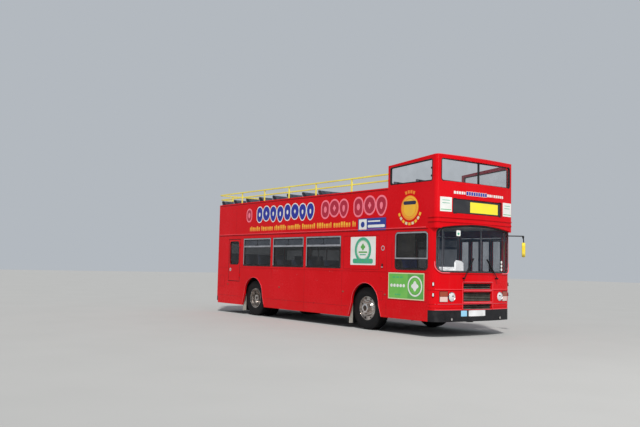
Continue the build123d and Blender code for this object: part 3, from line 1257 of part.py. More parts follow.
def build_mirror():
    """A rounded housing toed in towards the driver, hung from an arm at the windscreen's top corner."""
    x, y, z = HALF_L - MIRROR_BACK, HALF_W + MIRROR_OUT, sum(MIRROR_Z) / 2
    face = RectangleRounded(MIRROR_W, MIRROR_Z[1] - MIRROR_Z[0], MIRROR_W / 2 - 5)
    shell = extrude(Plane.YZ * face, MIRROR_T / 2, both=True)
    shell = chamfer(shell.edges().group_by(Axis.X)[-1], MIRROR_T / 4)
    housing = Pos(x, y, z) * Rotation(0, 0, MIRROR_TURN) * shell
    top = (x, y - MIRROR_W / 8, MIRROR_ARM_Z)
    line = Polyline((HALF_L - FRONT_MODULE_L, HALF_W - WALL, MIRROR_ARM_Z), top, (x, y, MIRROR_Z[1] - 20))
    start = Plane(origin=line @ 0, z_dir=line % 0)
    arm = sweep(start * Circle(MIRROR_ARM_R), path=line, transition=Transition.RIGHT)
    arm -= lower_fill(around(MIRROR_ARM_Z, 3 * MIRROR_ARM_R), -SEAT_GAP)
    keep("nearside_mirror", housing + arm)


def build_wipers():
    wipers = []
    for y, lean in WIPERS:
        x = HALF_L + MIRROR_ARM_R
        arm = block((x, x + WIPER_W / 2), around(0, WIPER_W / 2), (0, WIPER_ARM))
        blade_z = (WIPER_BLADE_FOOT, WIPER_BLADE_FOOT + WIPER_BLADE)
        blade = block((x - WIPER_REACH, x + 1), around(0, WIPER_W / 2), blade_z)
        wiper = Pos(0, y, WIPER_Z) * Rotation(lean, 0, 0) * (arm + blade)
        spindle = rod((x - WALL, y, WIPER_Z), WIPER_W, 2 * WALL, ALONG_X)
        spindle -= lower_fill(around(WIPER_Z, 4 * WIPER_W), -SEAT_GAP)
        wipers.append(wiper + spindle)
    keep("wipers", *wipers)


build_chassis()
build_front_axle()
build_rear_axle()
build_wheels()
build_lower_floor()
build_upper_floor()
build_wheel_boxes()
build_sides()
build_front()
build_grille()
build_upper_screen()
build_glass()
build_rear()
build_exit_door()
build_doors()
build_stairs()
build_seats()
build_cab()
build_rails()
build_lamps()
build_mirror()
build_wipers()

os.makedirs("parts", exist_ok=True)
for name, shape in parts.items():
    export_step(shape, f"parts/{name}.step")
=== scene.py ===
import math
import random

import bmesh
import bpy
from mathutils import Matrix, Vector


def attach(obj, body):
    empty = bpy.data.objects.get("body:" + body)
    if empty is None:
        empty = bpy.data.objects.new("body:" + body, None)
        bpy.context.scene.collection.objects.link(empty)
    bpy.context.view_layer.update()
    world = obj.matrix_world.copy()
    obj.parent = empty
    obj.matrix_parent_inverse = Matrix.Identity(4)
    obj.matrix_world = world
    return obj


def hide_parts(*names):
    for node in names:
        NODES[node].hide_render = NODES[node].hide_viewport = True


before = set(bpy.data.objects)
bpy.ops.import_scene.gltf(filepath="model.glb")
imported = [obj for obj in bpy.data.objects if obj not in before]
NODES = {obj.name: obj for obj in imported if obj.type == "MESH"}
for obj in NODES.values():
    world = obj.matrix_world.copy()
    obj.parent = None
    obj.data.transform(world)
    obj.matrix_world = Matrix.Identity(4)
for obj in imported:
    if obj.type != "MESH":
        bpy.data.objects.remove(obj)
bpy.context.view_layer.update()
BODY = "bus_body"
OFFSIDE, NEARSIDE = -1, 1
SIDES = (OFFSIDE, NEARSIDE)
AHEAD, ASTERN, UP = (1, 0, 0), (-1, 0, 0), (0, 0, 1)

# Body sizes in metres, as in the frame
HALF_L = 4.78
HALF_W = 1.25
LOWER_BOW_R = 5.68
LOWER_CORNER_R = 0.21
UPPER_BOW_R = 10.4
UPPER_CORNER_R = 0.094
REAR_BOW_R = 14.0
FRONT_AXLE_X = 2.41
REAR_AXLE_X = -2.543
AXLE_Z = 0.5
TYRE_W = 0.28
TYRE_FACE = 1.18
TWIN_PITCH = 0.33
RIM_FACE = 1.165
HUB_FACE = 1.235
ARCH_R = 0.492
ARCH_Z = 0.603
ARCH_REAR_FOOT = (0.6, 0.29)
ARCH_FRONT_FOOT = (0.581, 0.345)
SILL_Z = 1.426
HEAD_Z = 2.214
WAIST_Z = (1.366, 1.379)
FLOOR_Z = 0.645
DASH_Z = 1.331
DRIVER_Y = -0.8
STAIR_FOOT = (1.3, 0.64)
STAIR_STEPS = 7
STAIR_RUN = 1.8
STAIR_RISE = 0.22625


# Shapes


class Shape:
    """Gathers the faces of one piece. Each method takes the index of its material."""

    def __init__(self):
        self.bm = bmesh.new()

    def skin(self, rings, mat=0, caps=True):
        """Joins closed rings of as many points each, and caps the first and the last."""
        rows = [[self.bm.verts.new(p) for p in ring] for ring in rings]
        faces = [(a[k - 1], a[k], b[k], b[k - 1]) for a, b in zip(rows, rows[1:]) for k in range(len(a))]
        if caps:
            faces += [rows[0][::-1], rows[-1]]
        for corners in faces:
            self.bm.faces.new(corners).material_index = mat

    def box(self, low, high, mat=0, soft=0.0):
        """A box, with its edges rounded by soft."""
        before = set(self.bm.faces)
        made = bmesh.ops.create_cube(self.bm, size=1)["verts"]
        for v in made:
            v.co = Vector(low[i] + (v.co[i] + 0.5) * (high[i] - low[i]) for i in range(3))
        if soft:
            edges = list({e for v in made for e in v.link_edges})
            bmesh.ops.bevel(self.bm, geom=edges, offset=soft, segments=2, profile=0.7, affect="EDGES")
        for face in set(self.bm.faces) - before:
            face.material_index = mat

    def plate(self, outline, place, depth, mat=0):
        """A flat plate on a surface: place(u, v, w) gives the point w above it."""
        self.skin([[place(u, v, w) for u, v in outline] for w in depth], mat)

    def band(self, outer, inner, place, depth, mat=0):
        """A flat ring between two outlines of as many points each."""
        low, high = depth
        loops = ((outer, low), (outer, high), (inner, high), (inner, low), (outer, low))
        self.skin([[place(u, v, w) for u, v in line] for line, w in loops], mat, caps=False)

    def rim(self, outline, out, into, place, depth, mat=0):
        """A strip along an outline, from out outside it to into inside it."""
        self.band(grown(outline, out), grown(outline, -into), place, depth, mat)

    def patch(self, u, v, place, depth, mat=0, steps=1):
        """A thin plate that follows a curved surface along u."""
        low, high = depth
        corners = ((v[0], low), (v[1], low), (v[1], high), (v[0], high))
        self.skin([[place(a, b, w) for b, w in corners] for a in spaced(*u, steps)], mat)

    def lathe(self, profile, centre, axis, mat=0, segments=48, closed=False):
        """Turns (radius, height) points about an axis through centre."""
        axis = Vector(axis).normalized()
        side = axis.orthogonal().normalized()
        other = axis.cross(side)
        spokes = [side * a + other * b for a, b in circle(0, 0, 1, segments)]
        if closed:
            profile = [*profile, profile[0]]
        rings = [[Vector(centre) + axis * h + spoke * max(r, 1e-5) for spoke in spokes] for r, h in profile]
        self.skin(rings, mat, caps=not closed)

    def tube(self, path, radius, mat=0, sides=8):
        """A round tube along a line of points."""
        path = [Vector(p) for p in path]
        rings = []
        up = None
        for k, point in enumerate(path):
            along = (path[min(k + 1, len(path) - 1)] - path[max(k - 1, 0)]).normalized()
            up = along.orthogonal() if up is None else up - along * up.dot(along)
            up.normalize()
            side = along.cross(up)
            rings.append([point + up * a + side * b for a, b in circle(0, 0, radius, sides)])
        self.skin(rings, mat)

    def add(self, mesh, matrix):
        """Copies a mesh into the piece."""
        start = len(self.bm.verts)
        self.bm.from_mesh(mesh)
        self.bm.verts.ensure_lookup_table()
        bmesh.ops.transform(self.bm, matrix=matrix, verts=self.bm.verts[start:])

    def mesh(self, name, clean=True):
        if clean:
            bmesh.ops.remove_doubles(self.bm, verts=self.bm.verts, dist=2e-5)
            bmesh.ops.recalc_face_normals(self.bm, faces=self.bm.faces)
        mesh = bpy.data.meshes.new(name)
        self.bm.to_mesh(mesh)
        self.bm.free()
        return mesh

    def piece(self, name, slot, *materials, body=BODY, smooth=35, replaces=(), clean=True):
        """Makes the object, which rides on a body of the frame."""
        mesh = self.mesh(name, clean)
        obj = bpy.data.objects.new(name, mesh)
        bpy.context.scene.collection.objects.link(obj)
        for mat in materials:
            mesh.materials.append(mat)
        mesh.polygons.foreach_set("use_smooth", [True] * len(mesh.polygons))
        mesh.set_sharp_from_angle(angle=math.radians(smooth))
        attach(obj, body)
        if replaces:
            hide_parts(*replaces)
        return obj


def spaced(low, high, steps):
    """Numbers at even steps from low to high."""
    return [low + (high - low) * k / steps for k in range(steps + 1)]


def rounded(u, v, r, steps=6):
    """A rounded rectangle's outline."""
    points = []
    corners = ((u[1] - r, v[1] - r), (u[0] + r, v[1] - r), (u[0] + r, v[0] + r), (u[1] - r, v[0] + r))
    for k, (a, b) in enumerate(corners):
        points += circle(a, b, r, steps, 90 * k, 90 * k + 90)
    return points


def pad(u, v, half_u, half_v, r, steps=6):
    """A rounded rectangle's outline about its centre."""
    return rounded((u - half_u, u + half_u), (v - half_v, v + half_v), r, steps)


def circle(u, v, r, steps=40, start=0, end=360):
    """A circle's points, or an arc's with both of its ends."""
    turns = [math.radians(a) for a in spaced(start, end, steps)]
    if end - start == 360:
        turns.pop()
    return [(u + r * math.cos(a), v + r * math.sin(a)) for a in turns]


def arc_band(u, v, r0, r1, start, end, steps):
    """A curved strip's outline, between two radii and two angles."""
    return circle(u, v, r1, steps, start, end) + circle(u, v, r0, steps, start, end)[::-1]


def grown(outline, by):
    """An outline pushed out by a distance."""
    made = []
    for k, (u, v) in enumerate(outline):
        edge = (Vector(outline[(k + 1) % len(outline)]) - Vector(outline[k - 1])).normalized()
        made.append((u + edge.y * by, v - edge.x * by))
    return made


def on_side(side):
    """Places points on a side wall: u is X, v is Z."""
    return lambda u, v, w: Vector((u, side * (HALF_W + w), v))


def on_plane(centre, out):
    """Places points on an upright plane that faces out: v is Z."""
    out = Vector(out).normalized()
    return lambda u, v, w: Vector(centre) + Vector((out.y * u, -out.x * u, v)) + out * w


def bow_x(y):
    """The lower front's X at a distance from the middle."""
    return HALF_L - LOWER_BOW_R + math.sqrt(LOWER_BOW_R**2 - y * y)


def on_bow(bow_r, corner_r):
    """Places points on a front, which is a bow between two round corners: u is Y, v is Z."""
    centre_x = HALF_L - bow_r
    corner_y = HALF_W - corner_r
    corner_x = centre_x + math.sqrt((bow_r - corner_r) ** 2 - corner_y**2)
    bow_end = bow_r * corner_y / (bow_r - corner_r)

    def place(u, v, w):
        if abs(u) < bow_end:
            x, y, r = centre_x, 0, bow_r
        else:
            x, y, r = corner_x, math.copysign(corner_y, u), corner_r
        out = Vector((math.sqrt(max(r * r - (u - y) ** 2, 0.0)), u - y, 0)) / r
        return Vector((x, y, v)) + out * (r + w)

    return place


def on_rear(u, v, w):
    return Vector((-HALF_L + REAR_BOW_R - math.sqrt(REAR_BOW_R**2 - u * u) - w, u, v))


offside = on_side(OFFSIDE)
low_front = on_bow(LOWER_BOW_R, LOWER_CORNER_R)
high_front = on_bow(UPPER_BOW_R, UPPER_CORNER_R)


# Materials


class Shader:
    """A node material built up from noises, ramps and bumps in object space."""

    def __init__(self, name, color, roughness=0.5, metallic=0.0, **sockets):
        self.material = bpy.data.materials.new(name)
        self.material.use_nodes = True
        self.material.diffuse_color = (*color, 1)
        self.tree = self.material.node_tree
        self.bsdf = self.tree.nodes["Principled BSDF"]
        self.object = self.node("ShaderNodeTexCoord").outputs["Object"]
        self.set(Base_Color=(*color, 1), Roughness=roughness, Metallic=metallic, **sockets)

    def put(self, socket, value):
        if isinstance(value, bpy.types.NodeSocket):
            self.tree.links.new(value, socket)
        else:
            socket.default_value = value

    def set(self, **sockets):
        """Sets or links the surface's own sockets."""
        for name, value in sockets.items():
            self.put(self.bsdf.inputs[name.replace("_", " ")], value)

    def node(self, kind, *first, **named):
        """A node, with its first sockets and its named ones set or linked."""
        node = self.tree.nodes.new(kind)
        for socket, value in zip(node.inputs, first):
            self.put(socket, value)
        for name, value in named.items():
            self.put(node.inputs[name], value)
        return node

    def stretched(self, scale):
        return self.node("ShaderNodeMapping", Vector=self.object, Scale=scale).outputs[0]

    def noise(self, scale, detail=3.0, vector=None, distortion=0.0):
        node = self.node("ShaderNodeTexNoise", Vector=vector or self.object, Scale=scale, Detail=detail)
        self.put(node.inputs["Distortion"], distortion)
        return node.outputs["Fac"]

    def cells(self, scale):
        return self.node("ShaderNodeTexVoronoi", Vector=self.object, Scale=scale).outputs["Distance"]

    def weave(self, scale, direction="X"):
        node = self.node("ShaderNodeTexWave", Vector=self.object, Scale=scale)
        node.bands_direction = direction
        return node.outputs["Fac"]

    def height(self, low, high):
        """0 at low and 1 at high above the road."""
        return self.remap(self.node("ShaderNodeSeparateXYZ", self.object).outputs[2], low, high)

    def remap(self, value, low, high, to_low=0.0, to_high=1.0):
        """Spreads low to high over to_low to to_high, and stops there."""
        return self.node("ShaderNodeMapRange", value, low, high, to_low, to_high).outputs[0]

    def times(self, a, b):
        node = self.node("ShaderNodeMath", a, b)
        node.operation = "MULTIPLY"
        return node.outputs[0]

    def blend(self, a, b, share):
        """A share of a and the rest of b."""
        return self.node("ShaderNodeMath", self.times(a, share), self.times(b, 1 - share)).outputs[0]

    def mix(self, factor, a, b):
        """Goes from color a to color b."""
        node = self.tree.nodes.new("ShaderNodeMix")
        node.data_type = "RGBA"
        for k, value in ((0, factor), (6, a), (7, b)):
            self.put(node.inputs[k], (*value, 1) if isinstance(value, tuple) else value)
        return node.outputs[2]

    def rough(self, value, low, high):
        self.set(Roughness=self.remap(value, 0.3, 0.7, low, high))

    def bump(self, *layers, edge=0.0):
        """Bumps from (value, strength, distance) layers, on edges rounded by edge."""
        normal = None
        if edge:
            bevel = self.node("ShaderNodeBevel", Radius=edge)
            bevel.samples = 4
            normal = bevel.outputs[0]
        for value, strength, distance in layers:
            node = self.node("ShaderNodeBump", Height=value, Strength=strength, Distance=distance)
            if normal is not None:
                self.put(node.inputs["Normal"], normal)
            normal = node.outputs[0]
        self.set(Normal=normal)
        return self.material


def paint(name, color, faded, dirt_top=0.75, roughness=(0.16, 0.34), edge=0.004):
    """Gloss coach paint: a little faded in clouds, dusty towards the road, chipped here and there."""
    s = Shader(name, color, 0.25, Coat_Weight=0.03, Coat_Roughness=0.1, Specular_IOR_Level=0.08)
    dirt = (0.22, 0.17, 0.12)
    clouds = s.noise(1.1, 4)
    low = s.times(s.height(dirt_top, 0.25), s.remap(s.noise(9, 5), 0.35, 0.8, 0, 0.09))
    streaks = s.noise(1, 3, s.stretched((16, 16, 0.7)))
    base = s.mix(low, s.mix(s.remap(clouds, 0.35, 0.75), color, faded), dirt)
    base = s.mix(s.remap(streaks, 0.6, 0.85, 0, 0.08), base, dirt)
    s.set(Base_Color=s.mix(s.remap(s.noise(120, 2), 0.76, 0.79, 0, 0.12), base, faded))
    s.rough(s.blend(s.noise(34, 4), clouds, 0.4), *roughness)
    return s.bump((s.noise(2.2, 1), 0.25, 0.004), (s.noise(260, 1), 0.04, 0.0006), edge=edge)


def plastic(name, color, light, roughness=(0.4, 0.65), grain=0.12, edge=0.002):
    """Grained plastic with a film of dust."""
    s = Shader(name, color, 0.5, Specular_IOR_Level=0.25)
    dust = s.noise(7, 5)
    s.set(Base_Color=s.mix(s.remap(dust, 0.4, 0.8), color, light))
    s.rough(dust, *roughness)
    return s.bump((s.cells(420), grain, 0.0008), (s.noise(40, 3), 0.08, 0.001), edge=edge)


def bare_metal(name, color, dark, roughness=(0.22, 0.45), direction=(4, 4, 160)):
    """Drawn metal with fine lines and dull patches."""
    s = Shader(name, color, 0.3, 1.0)
    lines = s.noise(6, 3, s.stretched(direction))
    patches = s.noise(5, 5)
    s.set(Base_Color=s.mix(s.remap(patches, 0.45, 0.75), color, dark))
    s.rough(s.blend(lines, patches, 0.5), *roughness)
    return s.bump((lines, 0.05, 0.0005), edge=0.0015)


def rubber(name, color, dust, amount):
    """Rubber with dusty patches."""
    s = Shader(name, color, 0.7, Specular_IOR_Level=0.2)
    patches = s.noise(6, 5)
    s.set(Base_Color=s.mix(s.remap(patches, 0.4, 0.75, 0, amount), color, dust))
    s.rough(patches, 0.55, 0.85)
    return s.bump((s.noise(180, 3), 0.15, 0.0008))


def glass(name, tint, alpha):
    """Window glass: see-through in part, with a trace of dust and of waviness."""
    s = Shader(name, tint, 0.03, Specular_IOR_Level=0.5)
    film = s.noise(3.5, 6)
    dusty = tuple(c + 0.03 for c in tint)
    s.set(Alpha=s.remap(film, 0.3, 0.8, alpha - 0.03, alpha + 0.1))
    s.set(Base_Color=s.mix(s.remap(film, 0.5, 0.9), tint, dusty))
    return s.bump((s.noise(1.2, 1), 0.05, 0.01))


def lens(name, color, alpha=0.95, ribs=0.0):
    """A moulded lamp lens, ribbed or pebbled."""
    s = Shader(name, color, 0.08, Specular_IOR_Level=0.7, Coat_Weight=0.5, Alpha=alpha)
    s.set(Base_Color=s.mix(s.noise(25, 3), tuple(c * 0.8 for c in color), color))
    return s.bump((s.weave(ribs, "Y") if ribs else s.cells(140), 0.5, 0.002))


def sticker(name, color, aged, roughness=0.4, **sockets):
    """Printed film, slightly aged."""
    s = Shader(name, color, roughness, **sockets)
    fade = s.noise(4, 5)
    s.set(Base_Color=s.mix(s.remap(fade, 0.4, 0.8), color, aged))
    s.rough(fade, roughness - 0.1, roughness + 0.15)
    return s.bump((s.noise(300, 2), 0.05, 0.0005))


def cloth(name, color, light):
    """Woven seat cloth with small flecks."""
    s = Shader(name, color, 0.85, Sheen_Weight=0.25)
    flecks = s.remap(s.cells(38), 0.22, 0.16, 0, 0.5)
    s.set(Base_Color=s.mix(flecks, s.mix(s.noise(8, 4), color, light), light))
    s.rough(s.noise(30, 3), 0.75, 0.95)
    threads = s.times(s.weave(260, "X"), s.weave(260, "Z"))
    return s.bump((threads, 0.3, 0.001), (s.noise(12, 3), 0.2, 0.004))


def covering(name, color, light):
    """Ribbed floor covering with pale worn patches."""
    s = Shader(name, color, 0.7)
    worn = s.noise(3, 5)
    s.set(Base_Color=s.mix(s.remap(worn, 0.4, 0.8), color, light))
    s.rough(worn, 0.55, 0.85)
    return s.bump((s.weave(55, "Y"), 0.4, 0.002), (s.noise(90, 3), 0.1, 0.001))


def wheel_silver(name):
    """Old silver wheel paint: rust spots, patches of brake dust and a fine grain."""
    s = Shader(name, (0.55, 0.53, 0.5), 0.25, 0.88)
    rust = s.remap(s.noise(22, 6, distortion=0.6), 0.56, 0.66, 0, 0.7)
    dust = s.remap(s.noise(9, 4), 0.4, 0.75, 0, 0.7)
    base = s.mix(dust, (0.6, 0.56, 0.53), (0.07, 0.05, 0.04))
    s.set(Base_Color=s.mix(rust, base, (0.1, 0.035, 0.018)))
    s.rough(s.noise(14, 4), 0.1, 0.26)
    return s.bump((s.noise(80, 4), 0.2, 0.001), edge=0.003)


RED = paint("body_red", (0.62, 0.002, 0.006), (0.67, 0.006, 0.012))
DOOR_RED = paint("door_red", (0.57, 0.002, 0.006), (0.62, 0.006, 0.012))
# A darker copy of the body red: painted shade on the faces that look into the open deck
SHADED_RED = paint("inner_red_painted_shade", (0.17, 0.012, 0.03), (0.22, 0.03, 0.045), roughness=(0.35, 0.6))
YELLOW = paint("rail_yellow", (0.88, 0.76, 0.14), (0.76, 0.6, 0.12), dirt_top=0.3)
MIRROR_YELLOW = plastic("mirror_yellow", (0.9, 0.68, 0.02), (0.75, 0.6, 0.12), (0.25, 0.45), 0.03)
BLACK = plastic("bumper_black", (0.007, 0.007, 0.009), (0.022, 0.022, 0.024), (0.32, 0.6))
GRILLE = plastic("grille_black", (0.02, 0.02, 0.02), (0.06, 0.055, 0.05))
# A lighter grey for the grille's faces that turn upward
GRILLE_UPWARD = plastic("grille_upward_faces", (0.085, 0.088, 0.075), (0.15, 0.14, 0.12))
CHASSIS = plastic("chassis_black", (0.012, 0.011, 0.011), (0.07, 0.055, 0.04), (0.6, 0.9), 0.3)
IRON = plastic("oily_iron", (0.03, 0.026, 0.024), (0.11, 0.075, 0.05), (0.5, 0.85), 0.3)
ENGINE = plastic("engine_grey", (0.08, 0.09, 0.085), (0.14, 0.11, 0.08), (0.5, 0.85), 0.3)
DASH = plastic("cab_plastic", (0.018, 0.018, 0.02), (0.05, 0.05, 0.05))
LAMINATE = plastic("saloon_laminate", (0.42, 0.4, 0.35), (0.5, 0.48, 0.43), (0.35, 0.55), 0.05)
CEILING = plastic("saloon_ceiling", (0.62, 0.6, 0.55), (0.52, 0.5, 0.45), (0.45, 0.7), 0.05)
ALUMINIUM = bare_metal("bare_aluminium", (0.58, 0.57, 0.59), (0.4, 0.39, 0.4))
CHROME = bare_metal("chrome", (0.85, 0.85, 0.86), (0.6, 0.6, 0.6), (0.05, 0.18), (10, 10, 10))
STEEL = bare_metal("rusty_nuts", (0.42, 0.36, 0.32), (0.2, 0.1, 0.06), (0.35, 0.6), (20, 20, 20))
SILVER = wheel_silver("wheel_silver")
RUBBER = rubber("window_rubber", (0.014, 0.014, 0.015), (0.09, 0.08, 0.07), 0.2)
TYRE = rubber("tyre_rubber", (0.006, 0.006, 0.007), (0.03, 0.027, 0.024), 0.35)
FLAP = rubber("pale_mudflap", (0.32, 0.3, 0.27), (0.5, 0.47, 0.42), 0.9)
FLOOR = covering("saloon_floor", (0.07, 0.07, 0.075), (0.13, 0.125, 0.12))
DECK = covering("open_deck_floor", (0.12, 0.12, 0.125), (0.2, 0.19, 0.18))
# Dark red for seams, and for painted shadow lines under the drip edge and the roof capping
SEAM_AND_SHADOW = plastic("seam_shadow", (0.13, 0.002, 0.004), (0.2, 0.006, 0.01), (0.5, 0.7), 0.02, 0.0)
# Paler reds for beads: painted highlights along their rounded edges
BEAD_HIGHLIGHT_RED = paint("bead_painted_highlight", (0.74, 0.11, 0.14), (0.8, 0.16, 0.19), roughness=(0.1, 0.2), edge=0.0)
LIP_HIGHLIGHT_RED = paint("lip_painted_highlight", (0.86, 0.13, 0.16), (0.88, 0.17, 0.2), roughness=(0.1, 0.2), edge=0.0)
# The papers glow a little: painted sunlight on them, not a lamp
PAINTED_SUNLIGHT_GLOW = {"Emission_Color": (0.9, 0.92, 0.95, 1), "Emission_Strength": 0.8}
GLOWING_PAPER = sticker("white_paper_painted_sunlight", (0.9, 0.9, 0.89), (0.8, 0.8, 0.78), **PAINTED_SUNLIGHT_GLOW)
SCUFF = sticker("scuffed_paint", (0.7, 0.3, 0.3), (0.6, 0.2, 0.2))
CAB_CLOTH = cloth("cab_seat_cloth", (0.012, 0.03, 0.3), (0.03, 0.08, 0.45))
CLOTH = cloth("seat_cloth", (0.035, 0.06, 0.16), (0.16, 0.22, 0.4))
VINYL = plastic("deck_seat_vinyl", (0.035, 0.042, 0.062), (0.11, 0.115, 0.135), (0.3, 0.5), 0.2)
SHELL = plastic("seat_shell", (0.3, 0.28, 0.36), (0.4, 0.38, 0.45), (0.3, 0.5), 0.08)
WINDOW = glass("window_glass", (0.006, 0.005, 0.004), 0.5)
DOOR_GLASS = glass("door_glass", (0.02, 0.022, 0.024), 0.16)
SCREEN = glass("windscreen_glass", (0.01, 0.018, 0.034), 0.24)
CLEAR = glass("clear_glass", (0.16, 0.18, 0.19), 0.05)
HOPPER_REFLECTION = glass("hopper_painted_reflection", (0.07, 0.08, 0.1), 0.5)
# Milky white headlamp glass: painted reflection of the sky in the lamps
HEADLAMP_SKY_WHITE = lens("headlamp_lens_painted_reflection", (0.97, 0.97, 0.98), 0.8, 160)
LENS_FOG = lens("fog_lens", (0.4, 0.38, 0.37), 0.9)
LENS_ORANGE = lens("lens_orange", (0.36, 0.05, 0.014))
LENS_WHITE = lens("lens_white", (0.86, 0.6, 0.55))
LENS_MARKER = lens("lens_marker", (0.9, 0.88, 0.86))
LENS_RED = lens("lens_red", (0.5, 0.004, 0.006))
WHITE = sticker("sign_white", (0.8, 0.81, 0.78), (0.68, 0.69, 0.64))
PLATE = sticker("plate_white", (0.82, 0.83, 0.85), (0.6, 0.6, 0.6), 0.25)
PALE_BLUE = sticker("plate_blue", (0.3, 0.62, 0.85), (0.25, 0.5, 0.7), 0.25)
GREEN = sticker("sign_green", (0.05, 0.42, 0.14), (0.09, 0.42, 0.2))
MINT = sticker("sign_mint", (0.045, 0.38, 0.22), (0.08, 0.4, 0.26))
LEAF = sticker("panel_green", (0.13, 0.47, 0.07), (0.2, 0.52, 0.1))
LEAF_DARK = sticker("panel_green_dark", (0.09, 0.36, 0.06), (0.13, 0.42, 0.08))
CREAM = sticker("panel_edge", (0.72, 0.68, 0.42), (0.62, 0.6, 0.36))
BLUE = sticker("motif_blue", (0.006, 0.012, 0.3), (0.012, 0.02, 0.33))
DEEP_RED = sticker("motif_red", (0.42, 0.004, 0.028), (0.46, 0.008, 0.035))
PINK = sticker("motif_pink", (0.95, 0.2, 0.27), (0.85, 0.18, 0.24))
ORANGE = sticker("motif_orange", (0.85, 0.25, 0.01), (0.75, 0.22, 0.02))
AMBER = sticker("motif_amber", (0.88, 0.48, 0.02), (0.8, 0.42, 0.04))
BOARD = sticker("board_yellow", (0.9, 0.78, 0.03), (0.85, 0.7, 0.06), 0.5)
BLIND = sticker("blind_black", (0.018, 0.019, 0.024), (0.035, 0.036, 0.04), 0.5)
PANEL_BLUE = sticker("panel_blue", (0.012, 0.035, 0.26), (0.02, 0.045, 0.3))
NAVY = sticker("motif_navy", (0.01, 0.012, 0.05), (0.02, 0.022, 0.07))
NOTICE = sticker("grey_notice", (0.4, 0.4, 0.4), (0.3, 0.3, 0.3))

# Materials of the frame's own nodes


def inward(centre, normal):
    """1 on faces that look into the saloon, 2 on those that look into the open deck, which take a darker
    red as painted shade.
    """
    out = Vector((centre.x if abs(centre.x) > 4.4 else 0, centre.y if abs(centre.y) > 1.1 else 0, 0))
    if out.length and out.normalized().dot(normal) < -0.4:
        return 2 if centre.z > 2.44 else 1
    return 0


# How nodes' names end, their materials, and which of these each face takes
NODE_LOOKS = (
    # Faces that look into the open deck take the darker red as painted shade
    (("_side_panels", "_pillars", "_panel", "_screen_frame"), (RED, LAMINATE, SHADED_RED), inward),
    (("engine_cover", "emergency_door"), (RED,), None),
    (("bumpers", "wipers"), (BLACK,), None),
    (("front_grille",), (GRILLE, GRILLE_UPWARD), lambda c, n: n.z > 0.2),
    (("chassis_frame",), (CHASSIS,), None),
    (("_beam", "_housing", "_knuckle"), (IRON,), None),
    (("engine_block",), (ENGINE,), None),
    (("wheel_boxes",), (CHASSIS, FLAP), lambda c, n: c.z < 0.598),
    (("lower_floor",), (FLOOR,), None),
    (("upper_floor",), (DECK, CEILING), lambda c, n: n.z < -0.5),
    (("staircase",), (LAMINATE,), None),
    (("dashboard", "steering_wheel"), (DASH,), None),
    (("guard_rails",), (YELLOW,), None),
    (("window_frames",), (ALUMINIUM,), None),
    (("window_glass",), (WINDOW, CLEAR), lambda c, n: c.z > 3.2),
    (("windscreen_glass",), (SCREEN,), None),
    (("emergency_door_glass",), (WINDOW,), None),
    (("nearside_mirror",), (BLACK, MIRROR_YELLOW), lambda c, n: c.y > 1.45 and c.z < 2.125),
    (("_leaf",), (DOOR_RED, DASH), lambda c, n: n.y < -0.5),
    (("_inner_glass", "_outer_glass"), (DOOR_GLASS,), None),
    (("_rim", "_rims"), (SILVER,), None),
    (("_tyre", "_tyres"), (TYRE,), None),
)


def dress_nodes():
    for node, obj in NODES.items():
        for ends, materials, pick in NODE_LOOKS:
            if not node.endswith(ends):
                continue
            obj.data.materials.clear()
            for mat in materials:
                obj.data.materials.append(mat)
            for face in obj.data.polygons if pick else ():
                face.material_index = int(pick(face.center, face.normal))


# Wheels

# (radius, share of half the width) from the bead over the side wall to the grooved crown
TYRE_PROFILE = (
    (0.281, 0.9), (0.3, 0.97), (0.33, 0.985), (0.36, 1.0), (0.4, 1.0), (0.44, 0.985), (0.465, 0.95),
    (0.482, 0.91), (0.494, 0.84), (0.497, 0.66), (0.485, 0.65), (0.485, 0.6), (0.498, 0.59),
    (0.4995, 0.26), (0.486, 0.25), (0.486, 0.18), (0.5, 0.17),
)
SHOULDER_BLOCKS = 60


def tyre(shape, x, side, face):
    """A tyre with a grooved crown, two ridges round each wall and blocks on its shoulders."""
    middle = side * (face - TYRE_W / 2)
    right = [(r, TYRE_W * 0.4975 * k) for r, k in TYRE_PROFILE]
    left = [(r, -h) for r, h in right[::-1]]
    shape.lathe(right + left, (x, middle, AXLE_Z), (0, 1, 0), segments=96, closed=True)
    for end in (-1, 1):
        wall = (x, middle + end * TYRE_W * 0.495, AXLE_Z)
        for r, wide in ((0.345, 0.006), (0.452, 0.004)):
            ridge = [(r, 0.0), (r + wide, 0.0), (r + wide, end * 0.00132), (r, end * 0.00132)]
            shape.lathe(ridge, wall, (0, 1, 0), segments=72, closed=True)
        y0, y1 = sorted(middle + end * TYRE_W * k for k in (0.37, 0.475))
        foot = ((-0.009, y0), (0.009, y0), (0.009, y1), (-0.009, y1))
        for k in range(SHOULDER_BLOCKS):
            turn = Matrix.Rotation(2 * math.pi * k / SHOULDER_BLOCKS, 4, "Y")
            at = Matrix.Translation((x, 0, AXLE_Z)) @ turn
            shape.skin([[at @ Vector((a, y, z)) for a, y in foot] for z in (0.462, 0.492)])


def nut_ring(shape, x, ring_r, count, y, side, r=0.014, depth=0.024):
    """A ring of nuts on their studs, round an axle."""
    for u, v in circle(x, AXLE_Z, ring_r, count):
        at = (u, side * y, v)
        shape.lathe([(r, 0.0), (r, depth * 0.8), (r * 0.8, depth)], at, (0, side, 0), segments=6)
        shape.lathe([(r * 0.5, 0.0), (r * 0.5, depth * 1.5)], at, (0, side, 0), segments=8)


